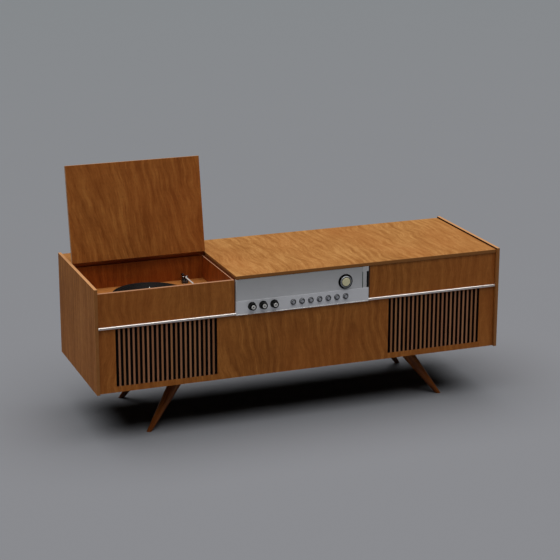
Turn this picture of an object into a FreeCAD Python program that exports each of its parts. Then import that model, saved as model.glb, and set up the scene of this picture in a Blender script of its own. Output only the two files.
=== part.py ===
import FreeCAD, Part
import math
import os
import Sketcher

# Radio phonograph console: a long low cabinet on splayed legs, with a lidded
# turntable well on the left, a radio with knobs, push buttons and a tuning
# dial in the middle, and a slotted loudspeaker grille at each end.
#
# Row frame: +Z up, floor at Z = 0, front towards -Y, +X to the right.  The
# origin is under the centre of the whole console's box.  Inside this file
# positions are counted from the cabinet's lower left front corner (x from the
# left side, y from the front edges of the side panels, z from the cabinet's
# underside); org_x, org_y and org_z carry that corner to the row frame.

V = FreeCAD.Vector
doc = FreeCAD.newDocument("radio_phonograph_console")
sheet = doc.addObject("Spreadsheet::Sheet", "dims")
sheet.Label = "dims"


class Q:
    """A length with its spreadsheet formula, so sizes stay bound to cells."""

    def __init__(self, text, value):
        self.text = text
        self.value = float(value)

    def _mix(self, other, sign, swap=False):
        o = q(other)
        a, b = (o, self) if swap else (self, o)
        if sign == "+":
            v = a.value + b.value
        elif sign == "-":
            v = a.value - b.value
        elif sign == "*":
            v = a.value * b.value
        else:
            v = a.value / b.value
        return Q("(%s %s %s)" % (a.text, sign, b.text), v)

    def __add__(self, o): return self._mix(o, "+")
    def __radd__(self, o): return self._mix(o, "+", True)
    def __sub__(self, o): return self._mix(o, "-")
    def __rsub__(self, o): return self._mix(o, "-", True)
    def __mul__(self, o): return self._mix(o, "*")
    def __rmul__(self, o): return self._mix(o, "*", True)
    def __truediv__(self, o): return self._mix(o, "/")
    def __neg__(self): return Q("(0 - %s)" % self.text, -self.value)


def q(v):
    return v if isinstance(v, Q) else Q("%.6f" % v if v >= 0 else "(0 - %.6f)" % -v, v)


_row = [0]


def cell(alias, value, note):
    _row[0] += 1
    r = _row[0]
    sheet.set("A%d" % r, alias)
    sheet.set("B%d" % r, repr(value))
    sheet.set("C%d" % r, note)
    sheet.setAlias("B%d" % r, alias)
    return Q("dims.%s" % alias, value)


# ---------------------------------------------------------------- dimensions
cab_len = cell("cab_len", 1620.0, "cabinet length")
cab_dep = cell("cab_dep", 534.0, "cabinet depth")
cab_high = cell("cab_high", 400.0, "side panel height")
leg_high = cell("leg_high", 193.0, "floor to cabinet underside")
org_x = cell("org_x", -810.0, "row X of the cabinet's left side")
org_y = cell("org_y", -260.5, "row Y of the side panels' front edges")
org_z = cell("org_z", 193.0, "row Z of the cabinet's underside")
side_th = cell("side_th", 12.0, "side panel thickness")
board_th = cell("board_th", 14.0, "top, lid, deck and bottom board thickness")
panel_th = cell("panel_th", 12.0, "front panel thickness")
top_level = cell("top_level", 394.0, "upper face of top and closed lid")
rim_gap = cell("rim_gap", 0.5, "air under the closed lid")
top_front = cell("top_front", 8.0, "front edge of top and closed lid")
panel_front = cell("panel_front", 12.0, "front face of the wooden front panels")
low_high = cell("low_high", 243.0, "height of the lower front panel")
rail_high = cell("rail_high", 11.0, "height of the bright rail")
rail_front = cell("rail_front", 4.0, "front face of the bright rail")
back_face = cell("back_face", 516.0, "inner face of the back panel")
back_th = cell("back_th", 4.0, "back panel thickness")
well_right = cell("well_right", 528.0, "right wall of the turntable well")
part_th = cell("part_th", 22.0, "thickness of the well partition")
well_back = cell("well_back", 371.0, "front face of the board behind the well")
top_left = cell("top_left", 538.0, "left edge of the fixed top")
lid_left = cell("lid_left", 13.0, "left edge of the lid")
lid_right = cell("lid_right", 537.0, "right edge of the lid")
hinge_y = cell("hinge_y", 378.0, "hinge axis, from the front")
hinge_z = cell("hinge_z", 394.0, "hinge axis, from the underside")
lid_open = cell("lid_open", 100.0, "lid angle as drawn, from closed")
leaf_off = cell("leaf_off", 2.2, "hinge axis to lid edge and to rail edge")
knuckle_rad = cell("knuckle_rad", 2.0, "hinge knuckle radius")
deck_top = cell("deck_top", 290.0, "upper face of the turntable deck")
slot_wide = cell("slot_wide", 9.0, "grille slot width")
slot_pitch = cell("slot_pitch", 17.95, "grille slot pitch")
slot_first = cell("slot_first", 77.5, "left edge of the first slot")
slot_low = cell("slot_low", 23.0, "lower end of the slots")
slot_top = cell("slot_top", 241.0, "upper end of the slots")
grille_wide = cell("grille_wide", 385.95, "width over all slots of a grille")
fas_left = cell("fas_left", 537.0, "radio fascia, left edge")
fas_right = cell("fas_right", 1069.0, "radio fascia, right edge")
fas_front = cell("fas_front", 6.0, "radio fascia, front face")
fas_deep = cell("fas_deep", 12.0, "radio fascia, depth")
fas_skin = cell("fas_skin", 2.5, "radio fascia, sheet thickness")
dial_low = cell("dial_low", 297.0, "dial opening, lower edge")
dial_high = cell("dial_high", 363.0, "dial opening, upper edge")
dial_lft = cell("dial_lft", 555.0, "dial opening, left edge")
dial_rgt = cell("dial_rgt", 1046.0, "dial opening, right edge")
knob_z = cell("knob_z", 274.3, "height of the three small knobs")
knob_x = cell("knob_x", 599.0, "first small knob, from the left")
knob_pitch = cell("knob_pitch", 44.0, "small knob spacing")
knob_rad = cell("knob_rad", 14.0, "small knob radius")
knob_nose = cell("knob_nose", -13.0, "small knob, front face")
shaft_rad = cell("shaft_rad", 3.0, "control shaft radius")
tune_x = cell("tune_x", 974.0, "tuning knob, from the left")
tune_z = cell("tune_z", 330.0, "tuning knob, height")
tune_rad = cell("tune_rad", 26.5, "tuning knob radius")
but_x = cell("but_x", 763.0, "first push button, from the left")
but_pitch = cell("but_pitch", 35.3, "push button spacing")
but_z = cell("but_z", 272.6, "push button height")
but_rad = cell("but_rad", 9.3, "push button radius")
plat_x = cell("plat_x", 262.0, "platter axis, from the left")
plat_y = cell("plat_y", 195.0, "platter axis, from the front")
plat_rad = cell("plat_rad", 142.0, "platter radius")
plat_top = cell("plat_top", 305.0, "upper face of the platter casting")
mat_th = cell("mat_th", 3.0, "platter mat thickness")
spin_rad = cell("spin_rad", 3.57, "record spindle radius")
axle_rad = cell("axle_rad", 4.0, "platter shaft radius below the mat")
spin_top = cell("spin_top", 330.0, "record spindle tip")
idle_rad = cell("idle_rad", 18.0, "idler wheel radius")
drive_gap = cell("drive_gap", 0.2, "gap standing for rubber contact")
arm_x = cell("arm_x", 444.0, "tonearm pivot, from the left")
arm_y = cell("arm_y", 332.0, "tonearm pivot, from the front")
arm_z = cell("arm_z", 314.5, "tonearm tube axis")
arm_rad = cell("arm_rad", 4.5, "tonearm tube radius")
arm_long = cell("arm_long", 241.0, "pivot to stylus")
leg_foot_x = cell("leg_foot_x", 214.0, "foot of the left legs, from the left")
leg_foot_y = cell("leg_foot_y", 74.0, "foot of the front legs, from the front")
leg_splay_x = cell("leg_splay_x", 137.0, "inward run of a leg along X")
leg_splay_y = cell("leg_splay_y", 50.0, "inward run of a leg along Y")
leg_foot_rad = cell("leg_foot_rad", 9.0, "leg radius at the floor")
leg_top_rad = cell("leg_top_rad", 25.5, "leg radius at the cabinet")
plate_th = cell("plate_th", 3.0, "leg plate thickness")
doc.recompute()

parts = []          # finished sub-parts, one per node
rim_z = top_level - board_th


# ------------------------------------------------------------------- helpers
def bind(obj, prop, value):
    value = q(value)
    if "dims." in value.text:
        obj.setExpression(prop, value.text)
    return value.value


def place(obj, x, y, z, rot=None):
    """Put an object at a cabinet position, bound to the sheet."""
    X, Y, Z = org_x + x, org_y + y, org_z + z
    obj.Placement = FreeCAD.Placement(V(X.value, Y.value, Z.value), rot or FreeCAD.Rotation())
    obj.setExpression(".Placement.Base.x", X.text)
    obj.setExpression(".Placement.Base.y", Y.text)
    obj.setExpression(".Placement.Base.z", Z.text)


def box(label, x0, x1, y0, y1, z0, z1, keep=False):
    """A board between two corners."""
    o = doc.addObject("Part::Box", label)
    o.Label = label
    for prop, v in (("Length", x1 - q(x0)), ("Width", y1 - q(y0)), ("Height", z1 - q(z0))):
        setattr(o, prop, v.value)
        bind(o, prop, v)
    place(o, q(x0), q(y0), q(z0))
    if keep:
        parts.append(o)
    return o


TURN = {"z": FreeCAD.Rotation(), "-z": FreeCAD.Rotation(V(1, 0, 0), 180),
        "y": FreeCAD.Rotation(V(1, 0, 0), -90), "-y": FreeCAD.Rotation(V(1, 0, 0), 90),
        "x": FreeCAD.Rotation(V(0, 1, 0), 90)}


def cyl(label, x, y, z, rad, length, axis="z", keep=False):
    o = doc.addObject("Part::Cylinder", label)
    o.Label = label
    rad, length = q(rad), q(length)
    o.Radius, o.Height = rad.value, length.value
    bind(o, "Radius", rad)
    bind(o, "Height", length)
    place(o, q(x), q(y), q(z), TURN[axis])
    if keep:
        parts.append(o)
    return o


def fuse(label, shapes, keep=False):
    o = doc.addObject("Part::MultiFuse", label)
    o.Label = label
    o.Shapes = shapes
    o.Refine = True
    if keep:
        parts.append(o)
    return o


def group(label, shapes):
    """Separate identical solids that share a node."""
    o = doc.addObject("Part::Compound", label)
    o.Label = label
    o.Links = shapes
    parts.append(o)
    return o


def cut(label, base, tools, keep=True):
    o = doc.addObject("Part::Cut", label)
    o.Label = label
    o.Base = base
    if len(tools) == 1:
        o.Tool = tools[0]
    else:
        t = doc.addObject("Part::Compound", label + "_tools")
        t.Label = label + "_tools"
        t.Links = tools
        o.Tool = t
    if keep:
        parts.append(o)
    return o


def plane_of(body, role):
    for f in body.Origin.OriginFeatures:
        if f.Role == role:
            return f
    raise RuntimeError("no " + role)


def new_body(label, x, y, z, rot=None, keep=True):
    b = doc.addObject("PartDesign::Body", label)
    b.Label = label
    place(b, q(x), q(y), q(z), rot)
    if keep:
        parts.append(b)
    return b


def sketch_on(body, name, role, offset=0.0):
    s = body.newObject("Sketcher::SketchObject", name)
    s.AttachmentSupport = (plane_of(body, role), [""])
    s.MapMode = "FlatFace"
    if offset:
        s.AttachmentOffset = FreeCAD.Placement(V(0, 0, offset), FreeCAD.Rotation())
    return s


def polygon(s, pts):
    """Closed polygon in a sketch, every corner dimensioned from the origin."""
    pts = [(q(a), q(b)) for a, b in pts]
    first = s.GeometryCount
    n = len(pts)
    for i in range(n):
        a, b = pts[i], pts[(i + 1) % n]
        s.addGeometry(Part.LineSegment(V(a[0].value, a[1].value, 0), V(b[0].value, b[1].value, 0)), False)
    cons, exprs = [], []
    base = s.ConstraintCount
    for i in range(n):
        cons.append(Sketcher.Constraint("Coincident", first + i, 2, first + (i + 1) % n, 1))
    for i, (a, b) in enumerate(pts):
        g = first + i
        if abs(a.value) < 1e-9:
            cons.append(Sketcher.Constraint("PointOnObject", g, 1, -2))
        else:
            exprs.append((base + len(cons), a))
            cons.append(Sketcher.Constraint("DistanceX", -1, 1, g, 1, a.value))
        if abs(b.value) < 1e-9:
            cons.append(Sketcher.Constraint("PointOnObject", g, 1, -1))
        else:
            exprs.append((base + len(cons), b))
            cons.append(Sketcher.Constraint("DistanceY", -1, 1, g, 1, b.value))
    s.addConstraint(cons)
    for idx, v in exprs:
        if "dims." in v.text:
            s.setExpression("Constraints[%d]" % idx, v.text)


def rect(s, x0, x1, y0, y1):
    polygon(s, [(x0, y0), (x1, y0), (x1, y1), (x0, y1)])


def circle(s, cx, cy, rad):
    cx, cy, rad = q(cx), q(cy), q(rad)
    g = s.GeometryCount
    s.addGeometry(Part.Circle(V(cx.value, cy.value, 0), V(0, 0, 1), rad.value), False)
    n = s.ConstraintCount
    cons = [Sketcher.Constraint("Radius", g, rad.value)]
    ex = [(n, rad)]
    for kind, v, ax in (("DistanceX", cx, -2), ("DistanceY", cy, -1)):
        if abs(v.value) < 1e-9:
            cons.append(Sketcher.Constraint("PointOnObject", g, 3, ax))
        else:
            ex.append((n + len(cons), v))
            cons.append(Sketcher.Constraint(kind, -1, 1, g, 3, v.value))
    s.addConstraint(cons)
    for idx, v in ex:
        if "dims." in v.text:
            s.setExpression("Constraints[%d]" % idx, v.text)


def pad(body, s, length, name="Pad", back=False):
    p = body.newObject("PartDesign::Pad", name)
    p.Profile = s
    p.Length = q(length).value
    bind(p, "Length", length)
    p.Reversed = back
    doc.recompute()
    return p


def pocket(body, s, length=None, name="Pocket", back=False):
    """Cut a pocket and make sure that it removed material."""
    before = body.Shape.Volume
    p = body.newObject("PartDesign::Pocket", name)
    p.Profile = s
    if length is None:
        p.Type = "ThroughAll"
        p.Midplane = True
    else:
        p.Length = q(length).value
        bind(p, "Length", length)
    p.Reversed = back
    doc.recompute()
    if not body.Shape.Volume < before - 1e-3:
        raise RuntimeError("pocket %s in %s cut nothing" % (name, body.Label))
    return p


def repeat(body, feats, s, axis, length, count, name):
    r = body.newObject("PartDesign::LinearPattern", name)
    r.Originals = feats
    r.Direction = (s, [axis])
    r.Length = q(length).value
    bind(r, "Length", length)
    r.Occurrences = count
    body.Tip = r
    doc.recompute()
    return r


def turned(label, x, y, z, pts, axis="z", keep=True):
    """A turned piece: the profile (radius, height) spun about its own axis."""
    b = new_body(label, x, y, z, TURN[axis], keep)
    s = sketch_on(b, label + "_profile", "XZ_Plane")
    polygon(s, pts)
    r = b.newObject("PartDesign::Revolution", label + "_turn")
    r.Profile = s
    r.ReferenceAxis = (s, ["V_Axis"])
    r.Angle = 360.0
    doc.recompute()
    return b


# ------------------------------------------------------------ cabinet boards
right_in = cab_len - side_th
box("left_side_panel", 0, side_th, 0, cab_dep, 0, cab_high, True)
box("right_side_panel", right_in, cab_len, 0, cab_dep, 0, cab_high, True)
inner_front = panel_front + panel_th
box("bottom_panel", side_th, right_in, inner_front, back_face, 0, board_th, True)
box("top_panel", top_left, right_in, top_front, cab_dep, rim_z, top_level, True)
box("rear_top_rail", side_th, top_left, hinge_y + leaf_off, cab_dep, rim_z, top_level, True)
box("well_front_panel", side_th, fas_left - 4, panel_front, inner_front,
    low_high + rail_high, rim_z - rim_gap, True)
box("right_front_panel", fas_right + 7, right_in, panel_front, inner_front,
    low_high + rail_high, rim_z, True)
# The partition carries the fixed top on its right half; its left half is
# half a millimetre lower, and the closed lid hangs over it.
part_board = box("partition_board", well_right, well_right + part_th, inner_front, back_face,
                 board_th, rim_z)
part_step = box("partition_step", well_right - 1, top_left, inner_front - 1,
                hinge_y + leaf_off, rim_z - rim_gap, rim_z + 1)
cut("well_partition", part_board, [part_step])
box("radio_partition", fas_right + 2, fas_right + 16, inner_front, back_face, board_th, rim_z, True)
box("well_rear_board", side_th, well_right, well_back, well_back + 12, 200, rim_z - rim_gap, True)
box("radio_shelf", well_right + part_th, fas_right + 2, inner_front, back_face,
    low_high - board_th, low_high, True)

# Lower front: one long board with a field of upright slots at each end.
b = new_body("lower_front_panel", side_th, panel_front, 0, TURN["y"])
s = sketch_on(b, "lower_outline", "XY_Plane")
rect(s, 0, right_in - side_th, -low_high, 0)
pad(b, s, panel_th, "board")
s = sketch_on(b, "left_slot", "XY_Plane")
rect(s, slot_first - side_th, slot_first - side_th + slot_wide, -slot_top, -slot_low)
p = pocket(b, s, None, "left_slot_cut")
repeat(b, [p], s, "H_Axis", slot_pitch * 21, 22, "left_grille")
s = sketch_on(b, "right_slot", "XY_Plane")
r0 = cab_len - slot_first - grille_wide - side_th
rect(s, r0, r0 + slot_wide, -slot_top, -slot_low)
p = pocket(b, s, None, "right_slot_cut")
repeat(b, [p], s, "H_Axis", slot_pitch * 21, 22, "right_grille")

# Bright rail, broken by the radio.
group("trim_rails", [
    box("rail_left", side_th, fas_left, rail_front, inner_front, low_high, low_high + rail_high),
    box("rail_right", fas_right, right_in, rail_front, inner_front, low_high, low_high + rail_high)])

# Back: thin board, ventilation slots behind the radio and each loudspeaker,
# and a cut-out for the mains inlet.
b = new_body("back_panel", side_th, back_face, board_th, TURN["y"])
s = sketch_on(b, "back_outline", "XY_Plane")
rect(s, 0, right_in - side_th, -(rim_z - board_th), 0)
pad(b, s, back_th, "board")
for nm, x0, w in (("vent_left", 180.0, 150.0), ("vent_mid", 640.0, 260.0), ("vent_right", 1270.0, 150.0)):
    s = sketch_on(b, nm, "XY_Plane")
    rect(s, x0, x0 + w, -96, -90)
    p = pocket(b, s, None, nm + "_cut")
    r = b.newObject("PartDesign::LinearPattern", nm + "_row")
    r.Originals = [p]
    r.Direction = (s, ["V_Axis"])
    r.Reversed = True
    r.Length = 150.0
    r.Occurrences = 11
    b.Tip = r
    doc.recompute()
s = sketch_on(b, "inlet_hole", "XY_Plane")
rect(s, 990, 1024, -60, -36)
pocket(b, s, None, "inlet_cut")

# Round-head screws along the edge of the back panel.
heads = []
n = 0
for fx in (0.012, 0.26, 0.5, 0.74, 0.988):
    for zz in (board_th + 10, rim_z - 10):
        n += 1
        heads.append(cyl("back_screw_%d" % n, side_th + (right_in - side_th) * fx, back_face + back_th, zz,
                         3.5, 2.0, "y"))
group("back_screws", heads)

# Mains inlet: a moulded shell with two flat pins, set into the back panel.
inlet_x = side_th + 1007
inlet_z = board_th + 48
shell = box("inlet_shell", inlet_x - 17, inlet_x + 17, 490, back_face + back_th + 1, inlet_z - 12, inlet_z + 12)
hollow = box("inlet_hollow", inlet_x - 13, inlet_x + 13, 500, back_face + back_th + 2, inlet_z - 8.5, inlet_z + 8.5)
pins = [box("inlet_pin_a", inlet_x - 7, inlet_x - 5, 498, 516, inlet_z - 3, inlet_z + 3),
        box("inlet_pin_b", inlet_x + 5, inlet_x + 7, 498, 516, inlet_z - 3, inlet_z + 3)]
fuse("mains_inlet", [cut("inlet_body", shell, [hollow], False)] + pins, True)

# -------------------------------------------------------------- loudspeakers
# Black cloth behind each grille, and one 200 mm driver behind each cloth.
group("grille_cloths", [
    box("cloth_left", slot_first - 10, slot_first + grille_wide + 10, inner_front, inner_front + 1.5,
        board_th, low_high - 1),
    box("cloth_right", cab_len - slot_first - grille_wide - 10, cab_len - slot_first + 10, inner_front,
        inner_front + 1.5, board_th, low_high - 1)])
frames, cones, magnets = [], [], []
for side, sx in (("left", slot_first + grille_wide / 2), ("right", cab_len - slot_first - grille_wide / 2)):
    sy = inner_front + 1.5
    frames.append(turned("speaker_frame_" + side, sx, sy, 130,
                         [(82, 0), (100, 0), (100, 4), (85, 4), (46, 58), (46, 61), (20, 61), (20, 58),
                          (43.5, 58), (82, 4.5)], "y", False))
    cones.append(turned("speaker_cone_" + side, sx, sy, 130,
                        [(0, 36), (17, 31), (80.5, 3), (80.5, 4.6), (18, 33), (18, 48), (16.8, 48), (16.8, 33),
                         (0, 37.5)], "y", False))
    magnets.append(turned("speaker_magnet_" + side, sx, sy, 130,
                          [(0, 61), (44, 61), (44, 82), (34, 86), (0, 86)], "y", False))
group("speaker_frames", frames)
group("speaker_cones", cones)
group("speaker_magnets", magnets)

# ---------------------------------------------------------------------- legs
# Round tapered legs, splayed outwards and towards the front and the back.
legs = (("leg_front_left", 1, 1), ("leg_front_right", -1, 1), ("leg_rear_left", 1, -1), ("leg_rear_right", -1, -1))
run = V(leg_splay_x.value, leg_splay_y.value, leg_high.value)
over = 18.0          # the blank runs past the floor and the plate before trimming
plates = []
for name, sx, sy in legs:
    fx = leg_foot_x if sx > 0 else cab_len - leg_foot_x
    fy = leg_foot_y if sy > 0 else cab_dep - leg_foot_y
    ax = V(run.x * sx, run.y * sy, run.z)
    stretch = run.Length / run.z
    blank = doc.addObject("Part::Cone", name + "_blank")
    blank.Label = name + "_blank"
    slope = (leg_top_rad - leg_foot_rad) / leg_high
    r1, r2 = leg_foot_rad - slope * over, leg_top_rad + slope * over
    length = (leg_high + 2 * over) * stretch
    blank.Radius1, blank.Radius2, blank.Height = r1.value, r2.value, length.value
    bind(blank, "Radius1", r1)
    bind(blank, "Radius2", r2)
    bind(blank, "Height", length)
    k = over / run.z
    place(blank, fx - ax.x * k, fy - ax.y * k, -leg_high - over, FreeCAD.Rotation(V(0, 0, 1), ax))
    hi_x = fx + sx * leg_splay_x
    hi_y = fy + sy * leg_splay_y
    slab = box(name + "_trim", fx - 260, fx + 260, fy - 160, fy + 160, -leg_high, -plate_th)
    leg = doc.addObject("Part::Common", name)
    leg.Label = name
    leg.Base, leg.Tool = blank, slab
    parts.append(leg)
    cxp = hi_x - sx * 4
    plates.append(box(name + "_plate", cxp - 42, cxp + 42, hi_y - 38, hi_y + 38, -plate_th, 0))
group("leg_plates", plates)

# -------------------------------------------------------------- lid and hinge
# The lid is drawn as it stands open.  Its own origin is on the hinge axis.
lid_turn = FreeCAD.Rotation(V(-1, 0, 0), lid_open.value)
lid_wide = lid_right - lid_left
b = new_body("lid", lid_left, hinge_y, hinge_z, lid_turn)
s = sketch_on(b, "lid_outline", "XY_Plane")
rect(s, 0, lid_wide, -(hinge_y - top_front), -leaf_off)
pad(b, s, board_th, "lid_board", back=True)

SEG = 25.0          # length of one hinge knuckle
PLAY = 0.3          # end play between knuckles


def leaf(label, x, y, z, rot, side, start, count, hole):
    """One leaf of the long hinge; side -1 is the lid's, +1 the rail's."""
    lf = new_body(label, x, y, z, rot)
    s1 = sketch_on(lf, label + "_plate", "YZ_Plane")
    if side < 0:
        rect(s1, -leaf_off, -leaf_off + 1, -12.5, -2.5)
    else:
        rect(s1, leaf_off - 1, leaf_off, -12.5, -2.5)
    pad(lf, s1, lid_wide, label + "_strip")
    s2 = sketch_on(lf, label + "_knuckle", "YZ_Plane", start + PLAY / 2)
    circle(s2, 0, 0, knuckle_rad)
    p2 = pad(lf, s2, SEG - PLAY, label + "_barrel")
    s3 = sketch_on(lf, label + "_tab", "YZ_Plane", start + PLAY / 2)
    if side < 0:
        rect(s3, -leaf_off + 0.2, -leaf_off + 1, -2.6, -0.2)
    else:
        rect(s3, leaf_off - 1, leaf_off - 0.2, -2.6, -0.2)
    p3 = pad(lf, s3, SEG - PLAY, label + "_web")
    pat = lf.newObject("PartDesign::LinearPattern", label + "_row")
    pat.Originals = [p2, p3]
    pat.Direction = (s2, ["N_Axis"])
    pat.Length = SEG * 2 * (count - 1)
    pat.Occurrences = count
    lf.Tip = pat
    doc.recompute()
    s4 = sketch_on(lf, label + "_bore", "YZ_Plane")
    circle(s4, 0, 0, hole)
    pk = lf.newObject("PartDesign::Pocket", label + "_bore_cut")
    pk.Profile = s4
    pk.Type = "ThroughAll"
    pk.Midplane = True
    lf.Tip = pk
    before = pat.Shape.Volume
    doc.recompute()
    if not lf.Shape.Volume < before - 1:
        raise RuntimeError("hinge bore cut nothing")
    return lf


leaf("hinge_moving_leaf", lid_left, hinge_y, hinge_z, lid_turn, -1, 0.0, 11, 1.05)
leaf("hinge_fixed_leaf", lid_left, hinge_y, hinge_z, None, 1, SEG, 10, 1.0)
cyl("hinge_pin", lid_left, hinge_y, hinge_z, 1.0, lid_wide, "x", True)

# ------------------------------------------------------------ turntable deck
idle_dist = plat_rad - 4 - idle_rad - drive_gap
c45 = math.sqrt(0.5)
idle_x, idle_y = plat_x - idle_dist * c45, plat_y + idle_dist * c45
pul_rad = 4.0
pul_x, pul_y = idle_x + idle_rad + pul_rad + drive_gap, idle_y
deck_low = deck_top - board_th
deck = box("deck_blank", side_th, well_right, inner_front, well_back, deck_low, deck_top)
cut("deck_board", deck, [
    cyl("deck_bearing_hole", plat_x, plat_y, deck_low - 1, 9.5, board_th + 2),
    cyl("deck_motor_hole", pul_x, pul_y, deck_low - 1, 8, board_th + 2),
    cyl("deck_idler_hole", idle_x, idle_y, deck_low - 1, 2.05, board_th + 2),
    cyl("deck_arm_hole", arm_x, arm_y, deck_low - 1, 8.2, board_th + 2)])

# Platter: shallow aluminium casting with a driven inner rim.
inner = plat_rad - 4
turned("platter", plat_x, plat_y, 0,
       [(axle_rad, 297), (15, 297), (18, plat_top - 4), (inner, plat_top - 4), (inner, 295), (plat_rad, 295),
        (plat_rad, plat_top - 1.5), (plat_rad - 1.5, plat_top), (axle_rad, plat_top)])
turned("platter_mat", plat_x, plat_y, 0,
       [(axle_rad, plat_top), (plat_rad - 1.5, plat_top), (plat_rad - 1.5, plat_top + mat_th - 1),
        (plat_rad - 2.5, plat_top + mat_th), (48, plat_top + mat_th), (46, plat_top + mat_th - 1),
        (axle_rad, plat_top + mat_th - 1)])
turned("platter_spindle", plat_x, plat_y, 0,
       [(0, 245.2), (axle_rad - 1, 245.2), (axle_rad, 246.2), (axle_rad, plat_top + mat_th - 1),
        (spin_rad, plat_top + mat_th - 1), (spin_rad, spin_top - 4), (spin_rad - 1.2, spin_top - 1.2),
        (spin_rad - 2.4, spin_top), (0, spin_top)])
turned("platter_bearing", plat_x, plat_y, 0,
       [(0, 240), (9, 240), (9, deck_low - 4), (24, deck_low - 4), (24, deck_low), (9, deck_low), (9, 294),
        (axle_rad + 0.03, 294), (axle_rad + 0.03, 245), (0, 245)])

# Drive: motor under the deck, stepped pulley, idler against the inner rim.
turned("idler_wheel", idle_x, idle_y, 0,
       [(0, 278), (2, 278), (2, 291.5), (6, 291.5), (6, 293.5), (idle_rad, 293.5), (idle_rad, 298.5), (5, 298.5),
        (4, 299.8), (0, 299.8)])
turned("motor_pulley", pul_x, pul_y, 0,
       [(0, 250), (1.5, 250), (1.5, 291.5), (5.5, 291.5), (5.5, 293), (pul_rad, 293), (pul_rad, 299), (3, 300),
        (0, 300)])
turned("turntable_motor", pul_x, pul_y, 0,
       [(1.55, 236), (30, 236), (32, 238), (32, 264), (30, 266), (38, 266), (38, deck_low), (9, deck_low), (9, 266),
        (1.55, 266)])

# Tonearm: pillar, yoke that swings, arm that lifts in the yoke.
turned("tonearm_base", arm_x, arm_y, 0,
       [(4.05, 266), (8, 266), (8, deck_top), (14, deck_top), (14, 302.5), (12.5, 304.5), (4.05, 304.5)])
yoke_foot = turned("yoke_post", arm_x, arm_y, 0,
                   [(0, 272), (4, 272), (4, 305), (12.5, 305), (12.5, 307), (0, 307)], keep=False)
ears = []
for nm, x0 in (("yoke_ear_left", -12.0), ("yoke_ear_right", 9.0)):
    e = box(nm, arm_x + x0, arm_x + x0 + 3, arm_y - 5, arm_y + 5, 306, arm_z + 5)
    ears.append(e)
cut("tonearm_yoke", fuse("yoke_blank", [yoke_foot] + ears), [
    cyl("yoke_pivot_bore", arm_x - 14, arm_y, arm_z, 1.55, 28, "x")])

# The arm: tube, cross shaft, and the stub that carries the counterweight.
fuse("tonearm_tube", [
    cyl("arm_tube", arm_x, arm_y + 8, arm_z, arm_rad, arm_long - 19, "-y"),
    cyl("arm_cross_shaft", arm_x - 12, arm_y, arm_z, 1.5, 24, "x"),
    cyl("arm_hub", arm_x - 7.5, arm_y, arm_z, 5.5, 15, "x"),
    cyl("arm_stub", arm_x, arm_y + 8, arm_z, 3, 26, "y")], True)
turned("counterweight", arm_x, arm_y + 19, arm_z,
       [(3, 0), (6.2, 0), (7, 0.8), (7, 14.2), (6.2, 15), (3, 15)], "y")
# Headshell turned 20 degrees, cartridge and stylus under it.
tip_y = arm_y - arm_long
yaw = FreeCAD.Rotation(V(0, 0, 1), -20.0)


def yawed(label, dx0, dx1, dy0, dy1, z0, z1):
    """A block fixed to the headshell's own turned axes, about the stylus."""
    o = doc.addObject("Part::Box", label)
    o.Label = label
    o.Length, o.Width = dx1 - dx0, dy1 - dy0
    hgt = q(z1) - q(z0)
    o.Height = hgt.value
    bind(o, "Height", hgt)
    c = yaw.multVec(V(dx0, dy0, 0))
    place(o, arm_x + c.x, tip_y + c.y, q(z0), yaw)
    return o


socket = cyl("headshell_socket", arm_x, tip_y + 24, arm_z, arm_rad + 0.8, 12, "y")
socket_bore = cyl("headshell_socket_bore", arm_x, tip_y + 27, arm_z, arm_rad, 10, "y")
shell_top = yawed("headshell_plate", -8, 8, -10, 27, arm_z - 1.5, arm_z + 1.5)
cart = yawed("cartridge_block", -6, 6, -6, 10, 310.8, arm_z - 1.5)
stylus = doc.addObject("Part::Cone", "stylus")
stylus.Label = "stylus"
stylus.Radius1, stylus.Radius2, stylus.Height = 0.3, 1.2, 2.5
place(stylus, arm_x, tip_y, 308.6)
cut("headshell", fuse("headshell_blank", [socket, shell_top, cart, stylus]), [socket_bore])

# Arm rest: a post with a pad under the tube and one upright on the far side,
# so the arm can swing off it towards the record.
fuse("arm_rest", [
    cyl("rest_post", arm_x, arm_y - 157, deck_top, 4, 16),
    box("rest_pad", arm_x - 7, arm_x + 8, arm_y - 161, arm_y - 153, deck_top + 14, arm_z - arm_rad - 0.4),
    box("rest_upright", arm_x + 5.2, arm_x + 8, arm_y - 161, arm_y - 153, deck_top + 14, arm_z + 4)], True)

# --------------------------------------------------------------------- radio
# Fascia: a metal front with an open dial field, a narrow window at its right
# end, holes for knobs and buttons, and a hollow back in the lower part.
b = new_body("radio_fascia", fas_left, fas_front, 0, TURN["y"])
s = sketch_on(b, "fascia_outline", "XY_Plane")
rect(s, 0, fas_right - fas_left, -rim_z, -low_high)
pad(b, s, fas_deep, "fascia_block")
s = sketch_on(b, "dial_field", "XY_Plane")
rect(s, dial_lft - fas_left, dial_rgt - fas_left, -dial_high, -dial_low)
pocket(b, s, None, "dial_cut")
s = sketch_on(b, "end_window", "XY_Plane")
rect(s, 1059 - fas_left, 1065.5 - fas_left, -(dial_high - 2), -(dial_low + 2))
pocket(b, s, None, "end_window_cut")
s = sketch_on(b, "hollow_back", "XY_Plane", 2.5)
rect(s, 3, fas_right - fas_left - 3, -(dial_low - 3), -(low_high + 3))
pocket(b, s, fas_deep - fas_skin, "hollow_cut", back=True)
s = sketch_on(b, "button_holes", "XY_Plane")
for i in range(7):
    circle(s, but_x + but_pitch * i - fas_left, -but_z, but_rad + 0.9)
pocket(b, s, None, "button_hole_cut")
s = sketch_on(b, "knob_holes", "XY_Plane")
for i in range(3):
    circle(s, knob_x + knob_pitch * i - fas_left, -knob_z, shaft_rad + 1)
pocket(b, s, None, "knob_hole_cut")

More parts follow.
